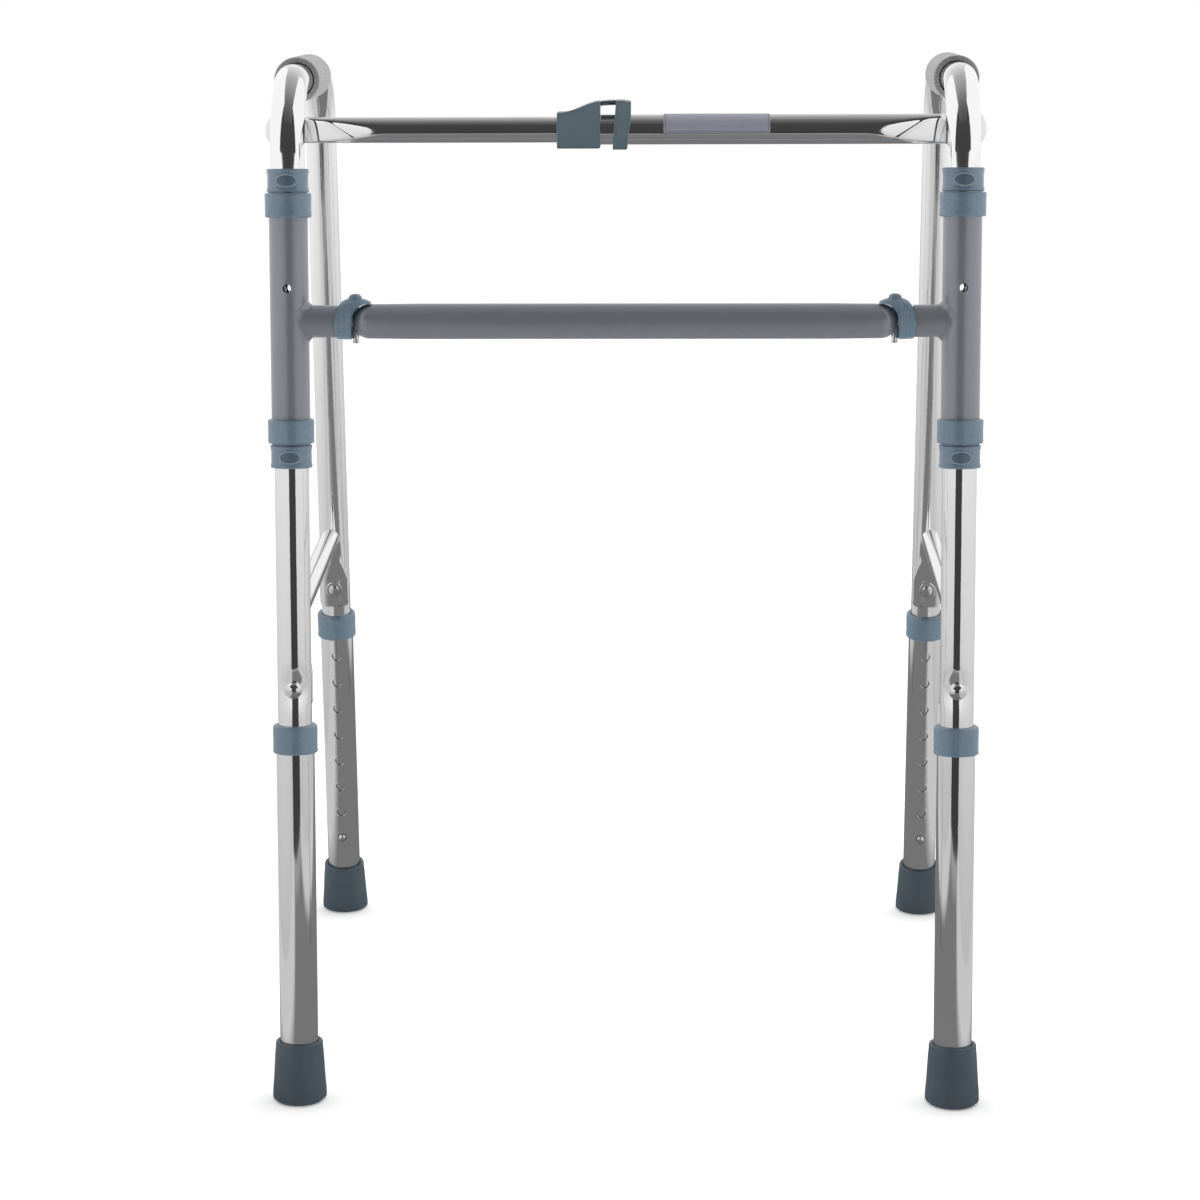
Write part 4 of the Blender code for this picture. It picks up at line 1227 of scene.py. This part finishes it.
def sky(*levels):
    """Brightness from the front of the studio, 0, to its back, 1."""
    stops = [(at, (level, level, level * 1.005)) for at, level in levels]
    return world.node("Background", world.ramp(depth, stops)).outputs[0]


# what polished surfaces mirror, what lights the rest, and what the camera sees
mirrored = sky(
    (0.0, 0.07), (0.14, 0.075), (0.28, 0.12), (0.38, 0.17),
    (0.50, 0.27), (0.75, 0.44), (0.93, 0.72), (1.0, 0.95),
)
fill = sky((0.0, 0.06), (0.30, 0.34), (0.50, 1.26), (1.0, 1.36))
plain = world.node("Background", Color=(1.0, 1.0, 1.0, 1.0), Strength=1.0).outputs[0]
rays = world.node("LightPath").outputs
unseen = world.node("MixShader", rays["Is Glossy Ray"], fill, mirrored).outputs[0]
final = world.node("MixShader", rays["Is Camera Ray"], unseen, plain).outputs[0]
world.node("OutputWorld", final)


def flat(name, corners, material):
    """A four-sided stage piece."""
    mesh = bpy.data.meshes.new(name)
    mesh.from_pydata(corners, [], [(0, 1, 2, 3)])
    mesh.materials.append(material)
    ob = add(name, mesh)
    return ob


def emitter(name, low, high, top):
    """A material whose glow runs evenly from low at the floor to high at the top."""
    m = Nodes(bpy.data.materials.new(name))
    m.tree.nodes.remove(m.shader)
    light = m.node("Emission", Strength=m.span(m.place("Z"), low, high, 0.0, top))
    m.finish(light.outputs[0])
    return m.owner


def wall(name, x0, y0, x1, y1, z0, z1, material):
    """An upright card that only reflections show."""
    ob = flat(name, [(x0, y0, z0), (x1, y1, z0), (x1, y1, z1), (x0, y0, z1)], material)
    for ray in ("camera", "diffuse", "shadow", "transmission"):
        setattr(ob, "visible_" + ray, False)


soft = emitter("softbox", 0.52, 1.0, 0.75)
dark = emitter("flag", 0.045, 0.060, 2.0)
SIDE = 0.68  # the side cards stand this far out
REAR = 1.6  # and run from here
FRONT = -1.44  # to the front cards, which stand between camera and frame
SPLIT = -0.64  # forward of this the soft cards are low, with dark flags above
INNER = 0.505  # half the width of the dark middle of the front
LOW = 0.80
TOP = 2.0
for label, s in (("left", -1.0), ("right", 1.0)):
    wall("softbox_" + label, s * SIDE, REAR, s * SIDE, SPLIT, 0.0, 2.2, soft)
    wall("softbox_low_" + label, s * SIDE, SPLIT, s * SIDE, FRONT, 0.0, LOW, soft)
    wall("softbox_front_" + label, s * SIDE, FRONT, s * INNER, FRONT, 0.0, LOW, soft)
    wall("flag_" + label, s * SIDE, SPLIT, s * SIDE, FRONT, LOW, TOP, dark)
    wall("flag_front_" + label, s * SIDE, FRONT, s * INNER, FRONT, LOW, TOP, dark)
wall("flag_front", -INNER, FRONT, INNER, FRONT, 0.0, TOP, dark)

# the floor is bright to the camera, and dim in reflections except at the sides and front
ground = Nodes(bpy.data.materials.new("floor"))
ground.put(Roughness=0.9, Specular_IOR_Level=0.1, Base_Color=(0.95, 0.95, 0.95, 1.0))
ground.put(Emission_Color=(1.0, 1.0, 1.0, 1.0), Emission_Strength=0.24)
wide = ground.span(ground.calc("ABSOLUTE", ground.place("X")), 0.19, 0.60, 0.33, 0.44)
forward = ground.span(ground.place("Y"), 0.36, 0.0, -1.35, -0.85)
dim = ground.node("Emission", Strength=ground.calc("MAXIMUM", wide, forward)).outputs[0]
glossy = ground.node("LightPath").outputs["Is Glossy Ray"]
ground.finish(ground.node("MixShader", glossy, ground.shader.outputs[0], dim).outputs[0])
floor = flat("floor", [(-9, -9, 0), (9, -9, 0), (9, 9, 0), (-9, 9, 0)], ground.owner)
floor.location.z = -0.0002

key = add("key_top", bpy.data.lights.new("key_top", "AREA"))
key.data.shape = "RECTANGLE"
key.data.size = key.data.size_y = 1.6
key.data.energy = 9.0
key.location = (0.3, 0.2, 2.6)
key.rotation_mode = "QUATERNION"
key.rotation_quaternion = (Vector((0.0, 0.0, 0.4)) - key.location).to_track_quat("-Z", "Y")
key.visible_glossy = False
key.visible_camera = False
